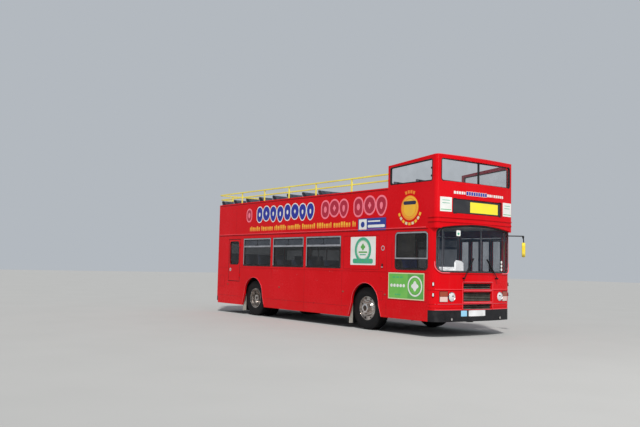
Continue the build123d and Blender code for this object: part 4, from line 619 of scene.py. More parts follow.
def build_wheels():
    """Treaded tyres, wheel nuts and the front hubs."""
    hub_ring = ((0.094, -0.001), (0.094, 0.003), (0.089, 0.005), (0.068, 0.005), (0.066, -0.001))
    hub_cap = ((0.0655, -0.0005), (0.0655, 0.001), (0.03, 0.002), (0.012, 0.004), (0.0, 0.004))
    for side, name in ((NEARSIDE, "left"), (OFFSIDE, "right")):
        front, rear = f"front_{name}", f"rear_{name}"
        shape = Shape()
        tyre(shape, FRONT_AXLE_X, side, TYRE_FACE)
        piece = f"{front}_treaded_tyre"
        shape.piece(piece, "tyre_rubber", TYRE, body=f"{front}_wheel", replaces=[f"{front}_tyre"])
        shape = Shape()
        tyre(shape, REAR_AXLE_X, side, TYRE_FACE)
        tyre(shape, REAR_AXLE_X, side, TYRE_FACE - TWIN_PITCH)
        piece = f"{rear}_treaded_tyres"
        shape.piece(piece, "tyre_rubber", TYRE, body=f"{rear}_wheels", replaces=[f"{rear}_tyres"])
        nuts = Shape()
        nut_ring(nuts, FRONT_AXLE_X, 0.135, 10, RIM_FACE - 0.001, side)
        nut_ring(nuts, FRONT_AXLE_X, 0.075, 8, HUB_FACE + 0.004, side, 0.006, 0.005)
        hub = (FRONT_AXLE_X, side * HUB_FACE, AXLE_Z)
        nuts.lathe(hub_ring, hub, (0, side, 0), 1, closed=True)
        nuts.lathe(hub_cap, hub, (0, side, 0), 2)
        nuts.piece(f"{front}_wheel_nuts", "wheel_silver", STEEL, CHROME, IRON, body=f"{front}_wheel")
        nuts = Shape()
        nut_ring(nuts, REAR_AXLE_X, 0.135, 10, RIM_FACE - 0.154, side)
        nuts.piece(f"{rear}_wheel_nuts", "wheel_silver", STEEL, body=f"{rear}_wheels")


# Lamps

SUNK = -0.03


def build_lamps():
    """Headlamps in rings, corner lamps, edge markers, round rear lamps and side lamps."""
    chrome, lenses, orange, white, red, black, marker = (Shape() for _ in range(7))
    ring = ((0.1, SUNK), (0.1, 0.004), (0.094, 0.01), (0.086, 0.004), (0.086, SUNK))
    seat = ((0.106, SUNK), (0.106, 0.002), (0.1, 0.004), (0.1, SUNK))
    bowl = ((0.0865, 0.0), (0.08, -0.018), (0.062, -0.038), (0.035, -0.052), (0.0, -0.056))
    bulb = ((0.03, SUNK), (0.03, -0.012), (0.024, -0.008), (0.0, -0.006))
    dome = ((0.086, 0.0), (0.07, 0.007), (0.045, 0.012), (0.02, 0.0145), (0.0, 0.015))
    rear_dome = ((0.046, 0.0), (0.045, 0.018), (0.036, 0.024), (0.0, 0.0255))
    for side in SIDES:
        y = side * 0.778
        x = bow_x(y)
        at = (x, y, 0.868)
        chrome.lathe(ring, at, AHEAD, closed=True)
        # The reflector bowls take the white marker lens, not chrome: painted reflection of the sky
        marker.lathe(bowl, at, AHEAD)
        black.lathe(seat, at, AHEAD, closed=True)
        black.lathe(bulb, at, AHEAD, segments=24)
        lenses.lathe(dome, at, AHEAD)
        bar = on_plane((x, y - 0.012 * side, 0.885), AHEAD)
        black.plate(pad(0, 0, 0.03, 0.009, 0.0085), bar, (0.0135, 0.0162))
        low, high = sorted((side * 0.887, side * 1.103))
        inner = (low + 0.01, high - 0.01)
        frame_line = rounded((low, high), (0.754, 0.985), 0.012)
        black.band(frame_line, rounded(inner, (0.764, 0.975), 0.01), low_front, (SUNK, 0.002))
        orange.patch(inner, (0.872, 0.975), low_front, (SUNK, 0.004), steps=8)
        white.patch(inner, (0.764, 0.868), low_front, (SUNK, 0.004), steps=8)
        black.patch(inner, (0.868, 0.872), low_front, (SUNK, 0.001), steps=8)
        out = Vector((0.55, side * 0.84, 0)).normalized()
        for z in (0.908, 1.136):
            corner = on_plane(Vector((4.59, side * 1.2, z)) + out * 0.028, out)
            marker.plate(pad(0, 0, 0.015, 0.034, 0.0145), corner, (SUNK, 0.012))
            black.plate(pad(0, 0, 0.021, 0.041, 0.02), corner, (SUNK, 0.005))
        for z, shape in ((0.92, red), (1.05, orange), (1.18, red)):
            at = on_rear(side * 1.04, z, 0.0)
            shape.lathe(rear_dome, at, ASTERN, segments=32)
            black.lathe(((0.05, -0.001), (0.05, 0.006), (0.046, 0.008)), at, ASTERN, segments=32)
        for x, z in ((3.119, 0.852), (1.6, 0.862), (-1.2, 0.862), (-4.0, 0.862)):
            orange.plate(pad(x, z, 0.028, 0.016, 0.008), on_side(side), (0.0, 0.01))
    chrome.piece("lamp_bowls_and_rings", "lamp_lens", CHROME, replaces=["lamps"])
    lenses.piece("headlamp_glasses", "lamp_lens", HEADLAMP_SKY_WHITE)
    orange.piece("orange_lenses", "lamp_lens", LENS_ORANGE)
    white.piece("white_lenses", "lamp_lens", LENS_WHITE)
    marker.piece("marker_lenses", "lamp_lens", LENS_MARKER)
    red.piece("red_lenses", "lamp_lens", LENS_RED)
    black.piece("lamp_seats", "wiper_black", RUBBER)


# Panels, signs and motifs


def stack(*heights):
    """The depths of films that lie one on the other."""
    return list(zip(heights, heights[1:]))


FILM = stack(0.0004, 0.0014, 0.002, 0.0026, 0.0032)
INK = (0.0004, 0.0016)


def sign(name, layers, *materials):
    """A sign on the offside: (depth, material, outline, and the inner outline of a ring)."""
    shape = Shape()
    for depth, mat, outer, *inner in layers:
        if inner:
            shape.band(outer, inner[0], offside, depth, mat)
        else:
            shape.plate(outer, offside, depth, mat)
    shape.piece(name, "body_red", *materials)


def tall(outline, v, by):
    return [(a, v + (b - v) * by) for a, b in outline]


def blob(u, v, kind, r):
    """Outlines of the plain motifs: a pill, a disc, a shape with four lobes and a drop."""
    if kind == 0:
        return pad(u, v, r * 0.75, r, r * 0.7)
    if kind == 1:
        return circle(u, v, r * 0.95, 32)
    turn = circle(0, 0, 1, 32)
    if kind == 3:
        return [(u + r * 0.8 * a * (1 + 0.2 * b), v + r * b) for a, b in turn]
    reach = [r * (0.82 + 0.16 * math.cos(4 * math.atan2(b, a))) for a, b in turn]
    return [(u + d * a, v + d * b) for d, (a, b) in zip(reach, turn)]


def build_long_motifs():
    """Rows of plain blobs, blue or crimson with an edge, over a row of orange strokes."""
    shape = Shape()
    rows = ((-2.478, 0.345, 8, 0, 2), (0.627, 1.742, 3, 1, 3),
            (1.913, 3.153, 3, 1, 3), (-3.02, -2.72, 1, 1, 3))
    for start, end, count, fill, edge in rows:
        step = (end - start) / count
        blue = fill == 0
        for k in range(count):
            u = start + step * (k + 0.5)
            v = 2.895 + 0.02 * math.sin(1.7 * k)
            size = min(step * 0.5, 0.19) / (1.0 if blue else 1.04)
            kind = 3 if k % 4 == 2 else k % 4
            line = tall(blob(u, v, kind, size * 1.05), v, 1.13 if blue else 1.06)
            shape.rim(line, 0.028 if blue else 0.042, 0, offside, (0.0004, 0.0016 + 0.0004 * (k % 2)), edge)
            shape.plate(line, offside, (0.0004, 0.0022), fill)
            inner = blob(u, v, (k + 1) % 4, 0.045 if blue else 0.06)
            shape.plate(tall(inner, v, 1.4), offside, (0.0022, 0.0028), edge)
    rng = random.Random(4)
    x, v, stroke = -2.817, 2.485, 0
    while x < 2.03:
        length = rng.choice((0.05, 0.07, 0.085))
        high = rng.choice((0.055, 0.06, 0.085))
        shape.plate(rounded((x, x + length), (v - 0.06, v + high), 0.022, 3), offside, INK, 4)
        inner = rounded((x + 0.01, x + length - 0.01), (v - 0.01, v + high - 0.012), 0.012, 3)
        shape.plate(inner, offside, (0.0016, 0.0022), 5)
        stroke += 1
        x += length + (0.022 if stroke % 7 else 0.08)
    shape.piece("upper_side_motifs", "body_red", BLUE, DEEP_RED, WHITE, PINK, ORANGE, AMBER)


def build_sun_disc():
    """An amber disc with a dark bar, blocks above it and an arc of blocks below."""
    u, v = 3.885, 2.79
    layers = [
        (FILM[0], 0, circle(u, v, 0.275, 48)),
        (FILM[1], 1, circle(u + 0.01, v + 0.01, 0.245, 48)),
        (FILM[2], 2, rounded((u - 0.2, u + 0.2), (v + 0.07, v + 0.15), 0.039, 5)),
        ((0.002, 0.0024), 0, circle(u, v, 0.215, 48), circle(u, v, 0.195, 48)),
    ]
    for k, a in enumerate(spaced(198, 330, 8)):
        layers.append((INK, 3 if k % 2 else 1, arc_band(u, v, 0.325, 0.385, a, a + 11.5, 6)))
    for a in spaced(64, 104.5, 3):
        layers.append((INK, 0, arc_band(u, v, 0.32, 0.39, a, a + 9.5, 5)))
    sign("upper_side_sun_disc", layers, ORANGE, AMBER, NAVY, CREAM)


def build_blue_panel():
    film = stack(0.0125, 0.0135, 0.0142, 0.0148)
    layers = [
        (film[0], 0, rounded((2.137, 3.128), (2.32, 2.61), 0.006, 2)),
        (film[1], 1, rounded((2.165, 2.45), (2.34, 2.59), 0.012, 3)),
        (film[2], 0, circle(2.308, 2.465, 0.07, 32)),
        (film[1], 1, rounded((2.49, 2.93), (2.519, 2.551), 0.0144, 4)),
        (film[1], 1, rounded((2.49, 3.09), (2.388, 2.452), 0.0288, 4)),
    ]
    sign("blue_side_panel", layers, PANEL_BLUE, WHITE)


def build_white_panel():
    u, v = 2.315, 1.865
    layers = [
        (FILM[0], 0, rounded((1.858, 2.772), (1.51, 2.177), 0.01, 2)),
        (FILM[1], 1, circle(u, v, 0.3, 56), circle(u, v, 0.232, 56)),
        (FILM[1], 2, circle(u, v, 0.225, 56), circle(u, v, 0.215, 56)),
        (FILM[1], 2, blob(u, v + 0.07, 2, 0.085)),
        (FILM[1], 2, rounded((u - 0.16, u + 0.16), (v - 0.07, v - 0.035), 0.015, 3)),
        (FILM[1], 1, rounded((u - 0.11, u + 0.11), (v - 0.125, v - 0.1), 0.01, 3)),
        (FILM[2], 1, rounded((1.948, 2.682), (1.545, 1.66), 0.05, 4)),
    ]
    layers += [(FILM[3], 3, circle(a, 1.6025, 0.03, 20)) for a in spaced(u - 0.26, u + 0.26, 4)]
    sign("white_side_panel", layers, WHITE, MINT, LEAF_DARK, GREEN)


def build_green_panel():
    film = stack(0.0055, 0.0065, 0.0072, 0.0079, 0.0086)
    u, v = 4.085, 1.07
    layers = [
        (film[0], 2, rounded((3.23, 4.37), (0.77, 1.355), 0.006, 2)),
        (film[1], 0, rounded((3.252, 3.86), (0.792, 1.333), 0.004, 2)),
        (film[1], 1, rounded((3.86, 4.348), (0.792, 1.333), 0.004, 2)),
        (film[2], 3, circle(u, v, 0.225, 56), circle(u, v, 0.19, 56)),
        (film[2], 0, circle(u, v, 0.165, 56)),
        (film[3], 3, blob(u, v, 2, 0.115)),
    ]
    bars = ((1.255, 0.36, 3, 0.016, 4), (1.07, 0.5, 5, 0.035, 3), (0.87, 0.2, 3, 0.016, 4))
    for z, width, count, h, mat in bars:
        step = width / count
        for k in range(count):
            a = 3.55 - width / 2 + k * step
            layers.append((film[2], mat, rounded((a, a + step * 0.78), (z - h, z + h), h * 0.9, 3)))
    sign("green_side_panel", layers, LEAF, LEAF_DARK, CREAM, WHITE, GREEN)


def build_front_signs():
    """White sheets, a strip of blocks and the blind above the windscreen, and blank plates."""
    shape = Shape()
    for a, b in ((-1.161, -0.834), (0.849, 1.182)):
        shape.patch((a, b), (2.687, 2.998), high_front, (0.0005, 0.004), 0, 4)
        shape.patch((a + 0.02, b - 0.02), (2.722, 2.737), high_front, (0.004, 0.0046), 1, 4)
        for z in (2.87, 2.93):
            shape.patch((a + 0.06, b - 0.06), (z - 0.006, z + 0.006), high_front, (0.004, 0.0045), 2, 4)
    shape.piece("front_white_signs", "lamp_lens", WHITE, GREEN, MINT)

    shape = Shape()
    step = 0.075
    for k in range(22):
        u = -0.782 + step * k
        blue = 5 <= k <= 13
        h = 0.04 if blue else 0.031
        gap = 0.03 if k in (4, 16) else 0.012
        line = rounded((u + 0.006, u + step - gap), (3.115 - h, 3.115 + h), 0.014, 3)
        if blue:
            shape.rim(line, 0.007, 0, high_front, FILM[0])
        shape.plate(line, high_front, FILM[0], int(blue))
    shape.piece("front_motif_strip", "body_red", WHITE, BLUE)

    shape = Shape()
    shape.patch((-0.78, 0.78), (2.68, 2.968), high_front, (-0.0152, -0.0146), 0, 20)
    shape.patch((-0.267, 0.678), (2.70, 2.931), high_front, (-0.0146, -0.014), 1, 12)
    shape.piece("destination_blind", "lamp_lens", BLIND, BOARD)

    shape = Shape()
    for a, b, mat, steps in ((-0.306, 0.232, 0, 6), (-0.531, -0.353, 1, 3)):
        shape.patch((a, b), (0.447, 0.575), low_front, (0.0005, 0.004), mat, steps)
        edge = rounded((a - 0.006, b + 0.006), (0.441, 0.581), 0.008, 3)
        shape.rim(edge, 0, 0.008, low_front, (0.0005, 0.006), 2)
    shape.piece("blank_plates", "bumper_black", PLATE, PALE_BLUE, BLACK)


# Window rubbers, seams and fittings

SALOON_BAYS = {
    OFFSIDE: ((0.022, 1.472), (-1.556, -0.106), (-3.134, -1.684)),
    NEARSIDE: ((1.6, 3.05), (0.022, 1.472), (-1.556, -0.106), (-3.134, -1.684), (-4.54, -3.262)),
}
DOOR_SPANS = {
    "door_front_outer": (4.0945, 4.418),
    "door_front_inner": (3.778, 4.0845),
    "door_rear_outer": (3.122, 3.4455),
    "door_rear_inner": (3.4555, 3.762),
}
PROUD = (0.0004, 0.0034)
LOW_PROUD = (0.0004, 0.0022)
INSET = (-0.0155, -0.002)
DEEP_INSET = (-0.042, -0.006)
GROOVE = (0.0003, 0.0009)


def filleted(corners, r):
    """A polygon's outline with its corners rounded off."""
    points = []
    for k, corner in enumerate(corners):
        at = Vector(corner)
        before = (Vector(corners[k - 1]) - at).normalized() * r
        after = (Vector(corners[(k + 1) % len(corners)]) - at).normalized() * r
        points += [tuple(at + before * (1 - t) ** 2 + after * t**2) for t in spaced(0, 1, 5)]
    return points


def trough(u, low, top, r, width):
    """The lower half of a rounded ring, open above, as one outline."""
    lines = []
    for by in (0, width):
        left = circle(u[0] + r, low + r, r - by, 8, 180, 270)
        right = circle(u[1] - r, low + r, r - by, 8, 270, 360)
        lines.append([(u[0] + by, top), *left, *right, (u[1] - by, top)])
    return lines[0] + lines[1][::-1]


def screen_outline(shrink):
    """The windscreen's outline, seen from ahead, drawn in by shrink."""
    half, bottom = 1.18 - shrink, 1.391 + shrink
    crown = 2.43 - shrink
    low_r, top_r = 0.15 - shrink, 0.13 - shrink
    rise = 0.1
    bow_r = (half * half + rise * rise) / (2 * rise)
    bow_z = crown - bow_r
    top_z = bow_z + math.sqrt((bow_r - top_r) ** 2 - (half - top_r) ** 2)
    lean = math.degrees(math.atan2(half - top_r, top_z - bow_z))
    right = circle(half - low_r, bottom + low_r, low_r, 10, 270, 360)
    right += [(half, v) for v in spaced(bottom + low_r, top_z, 9)[1:-1]]
    right += circle(half - top_r, top_z, top_r, 10, 0, 90 - lean)
    head = circle(0, bow_z, bow_r, 24, 90 - lean, 90 + lean)[1:-1]
    left = [(-u, v) for u, v in right[::-1]]
    foot = [(u, bottom) for u in spaced(low_r - half, half - low_r, 24)[1:-1]]
    return right + head + left + foot


def build_rubbers():
    """Window rubbers, dark strips over the frames as painted shade, and the strips, films and catches of
    the sliding panes, all on the body; the films' lighter grey is a painted reflection.
    """
    seals, strips, films, catches = (Shape() for _ in range(4))
    for side in SIDES:
        wall = on_side(side)
        y0, y1 = sorted(side * (HALF_W + w) for w in (0.001, 0.009))
        for low, high in SALOON_BAYS[side]:
            seals.rim(rounded((low, high), (SILL_Z, HEAD_Z), 0.012, 3), 0.009, 0, wall, PROUD)
            for v in ((SILL_Z + 0.03, 1.96), (1.99, HEAD_Z - 0.03)):
                seals.rim(rounded((low + 0.0305, high - 0.0305), v, 0.028), 0, 0.009, wall, INSET)
            # Black strips over each frame's lower member and its front upright below the hopper: painted
            # shade on the frame
            sill = (SILL_Z + 0.001, SILL_Z + 0.0305)
            seals.patch((low + 0.001, high - 0.001), sill, wall, (0.0042, 0.0058))
            seals.patch((high - 0.0305, high - 0.001), (sill[1], 1.958), wall, (0.0042, 0.0052))
            strips.patch((low + 0.031, high - 0.031), (1.9905, 2.006), wall, (-0.0135, -0.001))
            # A lighter grey film behind each sliding pane: the second pane, lightened as a painted
            # reflection
            films.patch((low + 0.04, high - 0.04), (2.0, HEAD_Z - 0.04), wall, (-0.0154, -0.0148))
            mid = (low + high) / 2
            seals.patch((mid - 0.006, mid + 0.006), (2.006, HEAD_Z - 0.031), wall, (-0.0145, -0.009))
            for x in (mid - 0.05, mid + 0.05):
                catches.box((x - 0.014, y0, 2.0), (x + 0.014, y1, 2.03), 0, 0.003)
        pane = filleted(((3.24, 3.346), (4.568, 3.346), (4.568, 3.8162), (3.24, 3.7304)), 0.04)
        seals.rim(grown(pane, -0.0005), 0, 0.016, wall, DEEP_INSET)
        seals.rim(pane, 0.008, 0.014, wall, LOW_PROUD)
        for u, v in ((3.3, 3.362), (3.5, 3.362), (4.19, 3.362), (4.55, 3.62), (4.55, 3.45), (3.256, 3.55)):
            seals.plate(pad(u, v, 0.022, 0.022, 0.008, 3), wall, (0.0022, 0.007))
    seals.rim(rounded((3.435, 4.457), (SILL_Z, 2.255), 0.09), 0.009, 0, offside, PROUD)
    for v, r in (((SILL_Z + 0.0305, 1.66), 0.03), ((1.69, 2.2245), 0.06)):
        seals.rim(rounded((3.4655, 4.4265), v, r), 0, 0.01, offside, INSET)
    # A black trough over the lower half of the driver's window frame: painted shade
    seals.plate(trough((3.436, 4.456), SILL_Z + 0.001, 1.658, 0.089, 0.03), offside, (0.0042, 0.0056))
    pane = rounded((-1.1295, 1.1295), (3.3465, 3.8315), 0.06)
    seals.rim(pane, 0, 0.016, high_front, DEEP_INSET)
    seals.rim(pane, 0.008, 0.014, high_front, LOW_PROUD)
    seals.patch((-0.017, 0.017), (3.342, 3.836), high_front, (-0.04, -0.006))
    outer, inner = screen_outline(-0.007), screen_outline(0.034)
    rings = ((outer, 0.0004), (outer, 0.006), (inner, -0.0125), (inner, -0.0155), (outer, 0.0004))
    seals.skin([[low_front(u, v, w) for u, v in line] for line, w in rings], caps=False)
    lip = [low_front(u, v, -0.0065) for u, v in screen_outline(0.016) if v < 2.2]
    strips.tube(lip, 0.003, sides=6)
    seals.rim(rounded((-0.8, 0.8), (1.5, 2.12), 0.012, 3), 0.012, 0.012, on_rear, (0.0004, 0.004))
    seals.rim(rounded((-0.795, 0.795), (2.665, 2.983), 0.03), 0.011, 0.002, high_front, (0.0004, 0.005))
    seals.piece("window_rubbers_and_frame_shade", "wiper_black", RUBBER)
    strips.piece("window_strips", "bare_aluminium", ALUMINIUM)
    films.piece("hopper_panes", "window_glass", HOPPER_REFLECTION)
    catches.piece("hopper_catches", "wiper_black", BLACK)


def build_emergency_door_trim():
    body = "emergency_door"
    shape = Shape()
    shape.rim(rounded((-3.934, -3.406), (1.461, 2.138), 0.09), 0.01, 0.012, offside, PROUD)
    shape.rim(rounded((-4.003, -3.337), (0.957, 2.207), 0.004, 1), 0, 0.012, offside, (0.0004, 0.002))
    shape.piece("emergency_door_rubbers", "wiper_black", RUBBER, body=body)
    shape = Shape()
    disc = ((0.05, 0.0), (0.05, 0.004), (0.046, 0.006))
    shape.lathe(disc, offside(-3.88, 1.3, 0), (0, OFFSIDE, 0), segments=32)
    shape.box((-3.91, -HALF_W - 0.009, 1.29), (-3.85, -HALF_W - 0.001, 1.31), 1, 0.003)
    shape.piece("emergency_door_handle", "bare_aluminium", CHROME, DOOR_RED, body=body)


def build_door_trim():
    """Rubbers round the doors' panes, and nosings where the two pairs meet."""
    nosing = ((-0.0005, 1.214), (0.0035, 1.216), (0.005, 1.227), (0.0035, 1.238), (-0.0005, 1.24))
    for body, (low, high) in DOOR_SPANS.items():
        shape = Shape()
        for v in ((0.472, 1.18), (1.25, 2.136)):
            pane = rounded((low + 0.045, high - 0.045), v, 0.03)
            shape.rim(pane, 0.007, 0.007, on_side(NEARSIDE), (-0.02, -0.0062))
        if body.endswith("inner"):
            edge, way = (high, 1) if body == "door_rear_inner" else (low, -1)
            shape.skin([[Vector((edge + out * way, y, z)) for out, y in nosing] for z in (0.36, 2.2)])
        shape.piece(f"{body}_rubbers", "wiper_black", RUBBER, body=body)


def build_side_trim():
    """Panel seams, painted shadow lines under the drip edge and the roof capping, the blank panel beside
    the stairs, rows of rivets, and drip edges and arch beads in a paler red as painted highlights.
    """
    seams, rivets, highlight_beads = Shape(), Shape(), Shape()
    rivet = ((0.0042, 0.0), (0.003, 0.0018), (0.0, 0.0022))
    # The first two lines are seams; the last two are painted shadows, under the roof capping and under the
    # drip edge
    seams_and_shadow_lines = (((-1.86, 1.78), (0.515, 0.519), 0.0012), ((-4.58, -3.22), (0.515, 0.519), 0.0012),
                  ((-4.595, 3.16), (3.236, 3.246), 0.0022), ((-4.6, 4.4), (2.314, 2.3255), 0.0022))
    for side in SIDES:
        wall = on_side(side)
        uprights = [(1.536, 0.3, SILL_Z), (-0.042, 0.3, SILL_Z), (-1.62, 1.13, SILL_Z)]
        if side == OFFSIDE:
            uprights.append((3.155, 0.36, HEAD_Z))
        for x, low, high in uprights:
            for v in ((low, WAIST_Z[0] - 0.002), (WAIST_Z[1] + 0.002, high)):
                seams.patch((x - 0.0016, x + 0.0016), v, wall, GROOVE)
            for z in spaced(low + 0.04, 1.37, 24)[:-1]:
                for u in (x - 0.018, x + 0.018):
                    rivets.lathe(rivet, wall(u, z, 0), (0, side, 0), segments=6)
        for x in (2.4, 1.0, -0.9, -2.5, -3.6):
            seams.patch((x - 0.0014, x + 0.0014), (2.36, 3.245), wall, GROOVE)
        for u, v, high in seams_and_shadow_lines:
            seams.patch(u, v, wall, (0.0003, high))
        # A paler red tube on the drip edge and beads round the arches: painted highlights
        highlight_beads.tube([wall(-4.6, 2.35, 0.0115), wall(4.4, 2.35, 0.0115)], 0.005)
        for axle in (FRONT_AXLE_X, REAR_AXLE_X):
            arch = circle(axle, ARCH_Z, ARCH_R, 24, 180, 0)
            rear_foot = (axle - ARCH_REAR_FOOT[0], ARCH_REAR_FOOT[1])
            front_foot = (axle + ARCH_FRONT_FOOT[0], ARCH_FRONT_FOOT[1])
            highlight_beads.tube([wall(u, v, 0.0075) for u, v in (rear_foot, *arch, front_foot)], 0.0035, sides=6)
    seams.rim(rounded((1.59, 2.892), (1.405, 2.205), 0.02, 3), 0, 0.005, offside, (0.0003, 0.0022))
    seams.patch((3.328, 3.333), (1.44, 2.03), offside, (0.0003, 0.0022))
    seams.patch((3.2, 4.44), (0.742, 0.746), offside, (0.0003, 0.0012))
    seams.piece("panel_seams_and_painted_shadows", "body_red", SEAM_AND_SHADOW)
    rivets.piece("panel_rivets", "body_red", RED)
    highlight_beads.piece("drip_and_arch_painted_highlights", "body_red", LIP_HIGHLIGHT_RED)


def build_side_fittings():
    """A round vent, a catch and a cap, black patches on the mudflaps as painted shadow, small flaps and rub
    marks.
    """
    chrome, black, marks = Shape(), Shape(), Shape()
    out = (0, OFFSIDE, 0)
    vent = offside(3.026, 1.905, 0)
    vent_ring = ((0.058, 0.0), (0.058, 0.005), (0.05, 0.009), (0.04, 0.005), (0.04, 0.0))
    chrome.lathe(vent_ring, vent, out, closed=True)
    black.lathe(((0.04, 0.0), (0.04, 0.002), (0.012, 0.003), (0.0, 0.003)), vent, out, 1)
    # Black patches over most of each mudflap: painted shadow of the tyre
    for axle in (FRONT_AXLE_X, REAR_AXLE_X):
        for y0, y1 in ((-1.09, -0.866), (0.866, 1.09)):
            black.box((axle - 0.617, y0, 0.112), (axle - 0.614, y1, 0.597))
    black.box((2.99, -HALF_W - 0.012, 1.49), (3.03, -HALF_W - 0.0003, 1.545), 0, 0.005)
    chrome.box((2.985, -HALF_W - 0.016, 1.462), (3.045, -HALF_W - 0.001, 1.482), 0, 0.005)
    cap = ((0.032, 0.0), (0.03, 0.004), (0.022, 0.005), (0.0, 0.005))
    chrome.lathe(cap, offside(2.977, 1.245, 0), out, 1)
    for x, z, wide, high in ((0.4, 0.52, 0.05, 0.03), (-4.35, 0.95, 0.28, 0.34), (2.95, 0.82, 0.18, 0.2)):
        marks.rim(pad(x, z, wide / 2, high / 2, 0.012, 3), 0, 0.004, offside, (0.0003, 0.0016), 1)
    rng = random.Random(7)
    spots = ((1.165, 1.325), (1.05, 1.335), (-1.467, 1.3), (-1.36, 1.31),
             (-0.4, 1.22), (0.5, 1.1), (-1.1, 0.95))
    for x, z in spots:
        for _ in range(3):
            u = x + rng.uniform(-0.05, 0.05)
            v = z + rng.uniform(-0.012, 0.012)
            length = rng.uniform(0.012, 0.04)
            streak = ((0, 0), (1, 0.0015), (0.7, 0.004), (0.2, 0.003))
            marks.plate([(u + length * a, v + b) for a, b in streak], offside, (0.0003, 0.0007))
    chrome.piece("side_fittings", "bare_aluminium", CHROME, RED)
    black.piece("side_handles_and_flap_shadows", "wiper_black", BLACK, DOOR_RED)
    marks.piece("rub_marks_and_flaps", "body_red", SCUFF, SEAM_AND_SHADOW)


def across(front, reach, z, w):
    """A line of points across a front."""
    return [front(u, z, w) for u in spaced(-reach, reach, 32)]


def build_front_trim():
    """Beads round the grille and the windscreen in paler reds as painted highlights, a black sheet behind
    the grille as painted shade, and the bumper's trim.
    """
    beads = Shape()
    line = screen_outline(-0.014)
    line = line[-12:] + line[:-12]
    # Paler beads at the windscreen's lower corners: painted highlights
    for side in SIDES:
        part = [low_front(u, v, 0.0125) for u, v in line if u * side > 0.8 and v < 1.62]
        beads.tube(part, 0.011, 1)
        beads.tube([low_front(side * 0.493, z, 0.009) for z in (0.6, 0.9, 1.18)], 0.0025, 1)
    # Paler beads across the front and along the upper screen's top edge: painted highlights
    for z, w, reach, r in ((1.187, 0.009, 0.48, 0.006), (0.998, 0.002, 0.46, 0.009),
                           (0.742, 0.002, 0.46, 0.009), (1.026, 0.002, 1.19, 0.0045),
                           (0.712, 0.0005, 1.19, 0.004), (0.587, 0.0005, 1.19, 0.006)):
        beads.tube(across(low_front, reach, z, w), r)
    beads.tube(across(high_front, 1.2, 3.918, -0.001), 0.006)
    beads.piece("front_painted_highlight_beads", "body_red", BEAD_HIGHLIGHT_RED, LIP_HIGHLIGHT_RED)

    # A black sheet behind the grille: painted shade inside it
    backing = Shape()
    backing.box((4.6735, -0.55, 0.585), (4.6755, 0.55, 1.17))
    backing.piece("grille_painted_shade", "grille_black", RUBBER)

    edge, glow = Shape(), Shape()
    fog_ring = ((0.036, 0.0), (0.036, 0.012), (0.032, 0.016), (0.029, 0.012), (0.029, 0.0))
    fog_dome = ((0.029, 0.0), (0.027, 0.006), (0.015, 0.01), (0.0, 0.0115))
    edge.tube(across(low_front, 1.2, 0.34, -0.001), 0.005, sides=6)
    for side in SIDES:
        edge.rim(pad(side * 0.95, 0.46, 0.11, 0.06, 0.02, 3), 0, 0.006, low_front, (0.0003, 0.003))
        fog = Vector((bow_x(0.786), side * 0.786, 0.39))
        edge.lathe(fog_ring, fog, AHEAD, closed=True)
        glow.lathe(fog_dome, fog + Vector((0.004, 0, 0)), AHEAD, segments=32)
    edge.piece("bumper_edges", "bumper_black", BLACK)
    glow.piece("fog_lamp_glasses", "lamp_lens", LENS_FOG)


def build_cab_papers():
    """Stickers inside the windscreen, and a heap of papers with three cards behind it."""
    shape = Shape()
    behind = stack(-0.0157, -0.015, -0.0147)
    for z in (1.637, 1.553, 1.471):
        shape.plate(circle(0.876, z, 0.034, 24), low_front, behind[0])
    shape.plate(rounded((-0.66, -0.545), (2.175, 2.3), 0.02, 3), low_front, behind[0])
    shape.plate(rounded((-0.63, -0.575), (2.2, 2.25), 0.02, 3), low_front, behind[1], 1)
    shape.piece("windscreen_stickers", "lamp_lens", WHITE, MINT)

    # The papers glow: painted sunlight
    papers = Shape()
    rng = random.Random(3)
    for k in range(9):
        z = DASH_Z + 0.0195 * k
        dx, dy = rng.uniform(-0.008, 0.008), rng.uniform(-0.015, 0.015)
        papers.box((4.42 + dx, -0.89 + dy, z), (4.56 + dx, -0.55 + dy, z + 0.018), 0, 0.002)
    for k in range(3):
        y = -0.6 + 0.012 * k
        top = 1.6 + 0.02 * k
        x = 4.6 + 0.009 * k
        card = ((y, DASH_Z), (y + 0.27, DASH_Z), (y + 0.255, top - 0.04),
                (y + 0.19, top), (y + 0.02, top + 0.02))
        papers.skin([[Vector((x + w, u, v)) for u, v in card] for w in (0.0, 0.006)])
    papers.piece("papers_on_the_dash", "lamp_lens", GLOWING_PAPER)


def build_mirror_and_wipers():
    """The mirror's glass in its rim, and the nuts of the mirror arm and the wipers."""
    shape = Shape()
    turn = math.radians(34)
    out = Vector((-math.cos(turn), -math.sin(turn), 0))
    face = on_plane(Vector((4.79, 1.555, 1.94)) + out * 0.0352, out)
    line = pad(0, 0, 0.08, 0.155, 0.075, 8)
    shape.plate(line, face, (0.0, 0.003))
    shape.rim(line, 0.007, 0, face, (-0.001, 0.005), 1)
    shape.piece("mirror_glass", "wiper_black", CHROME, BLACK)
    shape = Shape()
    arm_nut = ((0.02, -0.03), (0.024, 0.0), (0.024, 0.02), (0.018, 0.03))
    shape.lathe(arm_nut, (4.79, 1.5312, 2.235), UP, segments=20)
    wiper_nut = ((0.017, 0.0), (0.02, 0.004), (0.02, 0.014), (0.012, 0.02), (0.0, 0.02))
    for y in (-0.476, 0.609):
        shape.lathe(wiper_nut, (4.801, y, 1.268), AHEAD, segments=20)
    shape.piece("wiper_and_mirror_nuts", "wiper_black", BLACK)


# Seats

ROW_PITCH = 0.72
LEG = 0.345
SEAT_SHELL_Z = 0.345
SQUAB_Z = 0.3505
BACK_RAKE = math.atan2(0.09, 0.53)


